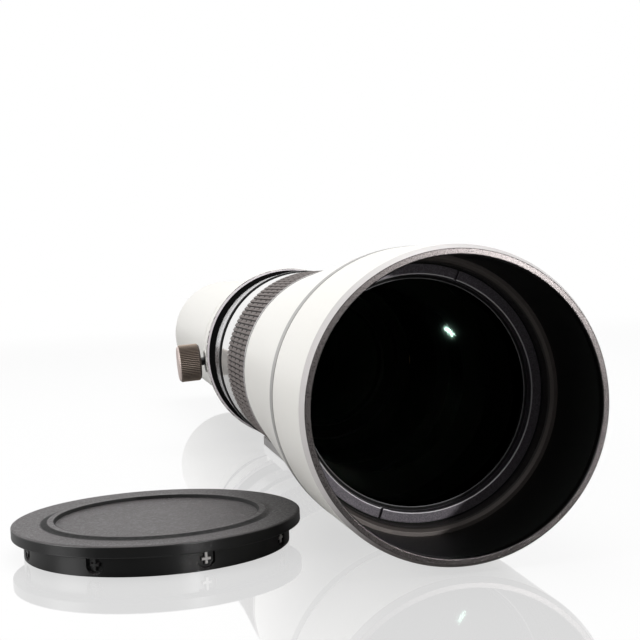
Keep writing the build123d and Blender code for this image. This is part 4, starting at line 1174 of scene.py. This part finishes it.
# Painted shade: the near flank of the ridge and the edge of the sunken disc are coloured plain black.
near_side_painted_shade = (0.45 * cap_x + 0.9 * cap_y).past(14.0, -12.0)
ridge_flank_painted_shade = near_side_painted_shade * ring_mask(ridge_crest - 0.3, ridge_crest + 0.2, ridge_foot + 0.1, ridge_foot + 1.1)
recess_edge_painted_shade = ring_mask(recess_radius - 0.3, recess_radius - 0.1, recess_radius + 0.4, recess_radius + 0.6)
matt_and_painted_shade = plastic.maths("MAXIMUM", ridge_flank_painted_shade, recess_edge_painted_shade)
cap_turn = plastic.maths("ARCTAN2", cap_y, cap_x) - pocket_turn
in_pockets = plastic.maths("FRACT", cap_turn / pocket_angle + 1.0)
off_rib = plastic.maths("ABSOLUTE", (in_pockets - 0.5) * (pocket_angle * skirt_radius))
upright = off_rib.clip(rib_half + 0.1, rib_half) * level.past(rib_bottom - 0.05, rib_bottom)
off_bar = plastic.maths("ABSOLUTE", level - bar_level * mm)
bar = off_bar.past(rib_half + 0.1, rib_half) * off_rib.clip(bar_half + 0.1, bar_half)
below = level.past(pocket_top + 0.05, pocket_top - 0.05)
# Painted highlight: the cross ribs are coloured light grey, almost only on the +X side of the cap.
ribs_painted_highlight_side = 0.02 + 0.98 * cap_x.past(0.0, 12.0)
# Painted shade: the scuff colour fades towards the +X edge of the cap, which makes that side darker.
scuff_fade_painted_shade = 0.25 + 0.75 * cap_x.past(48.0, 20.0)
cross_rib_painted_highlight = plastic.maths("MAXIMUM", upright, bar) * below * ribs_painted_highlight_side
scuffs_and_painted_shade = scuff_fade_painted_shade * (0.7 * pitted + 0.5 * dusty)
scuffed_colour_with_painted_shade = plastic.blend((0.004, 0.0035, 0.0035), (0.066, 0.056, 0.058), scuffs_and_painted_shade)
moulding_colour_with_painted_shade = plastic.blend((0.003,) * 3, scuffed_colour_with_painted_shade, grained * (1 - matt_and_painted_shade))
plastic.shade(
    base_color=plastic.blend(moulding_colour_with_painted_shade, (0.5, 0.48, 0.47), cross_rib_painted_highlight),
    roughness=0.3 + grained * (0.02 + 0.2 * pitted + 0.12 * (1 - scuff_fade_painted_shade)) + 0.5 * matt_and_painted_shade,
    normal=plastic.bump(pitted * grained, 0.1),
)


def cross_pockets(height, radius, angle):
    """Sinks the shield-shaped pockets into the skirt and leaves a cross rib standing in each."""
    sideways = (np.mod((angle - pocket_turn) / pocket_angle, 1.0) - 0.5) * pocket_angle * skirt_radius
    level = height / mm
    off = np.abs(sideways)
    lowest = pocket_bottom + pocket_point * (off / pocket_half) ** pocket_bend
    inside = np.minimum(np.minimum(pocket_half - off, pocket_top - level), level - lowest)
    upright = np.maximum(off - rib_half, rib_bottom - level)
    bar = np.maximum(np.abs(level - bar_level) - rib_half, off - bar_half)
    inside = np.minimum(inside, np.minimum(upright, bar))
    on = np.abs(radius - skirt_radius * mm) < 0.1 * mm
    return height, radius - on * pocket_depth * mm * np.clip(inside / pocket_ramp, 0, 1)


cap_corners = [
    (flange_bottom, skirt_radius, 0.1),
    (flange_bottom, cap_radius, 0.4),
    (cap_height - 0.8, cap_radius, 0.25),
    (cap_height - 0.4, cap_radius - 0.8, 0.3),
    (cap_height - 0.8, ridge_foot, 0.8),
    (cap_height, ridge_crest, 0.5),
    (cap_height, recess_radius + 0.2, 0.25),
    (recess_floor, recess_radius, 0.12),
    (recess_floor, 0.0, 0.1),
    (under_flange, 0.0, 0.1),
    (under_flange, skirt_radius - skirt_wall),
    (0.0, skirt_radius - skirt_wall),
    (0.0, skirt_radius),
]
skirt_run = run(0.35, flange_bottom - 0.2, skirt_radius, 0.2)
cap_profile = np.concatenate([fillet(cap_corners, 0.2), skirt_run])
pocket_reach = pocket_half + 0.2
pocket_steps = 0.5 + np.linspace(-pocket_reach, pocket_reach, 35) / (skirt_radius * pocket_angle)
pocket_angles = pocket_turn + evenly(pocket_count, pocket_steps)
turned(
    "grained_cap",
    cap_profile,
    plastic,
    "cap",
    ["front_cap"],
    axis=cap_axis,
    angles=np.concatenate([circle, pocket_angles]),
    relief=cross_pockets,
)
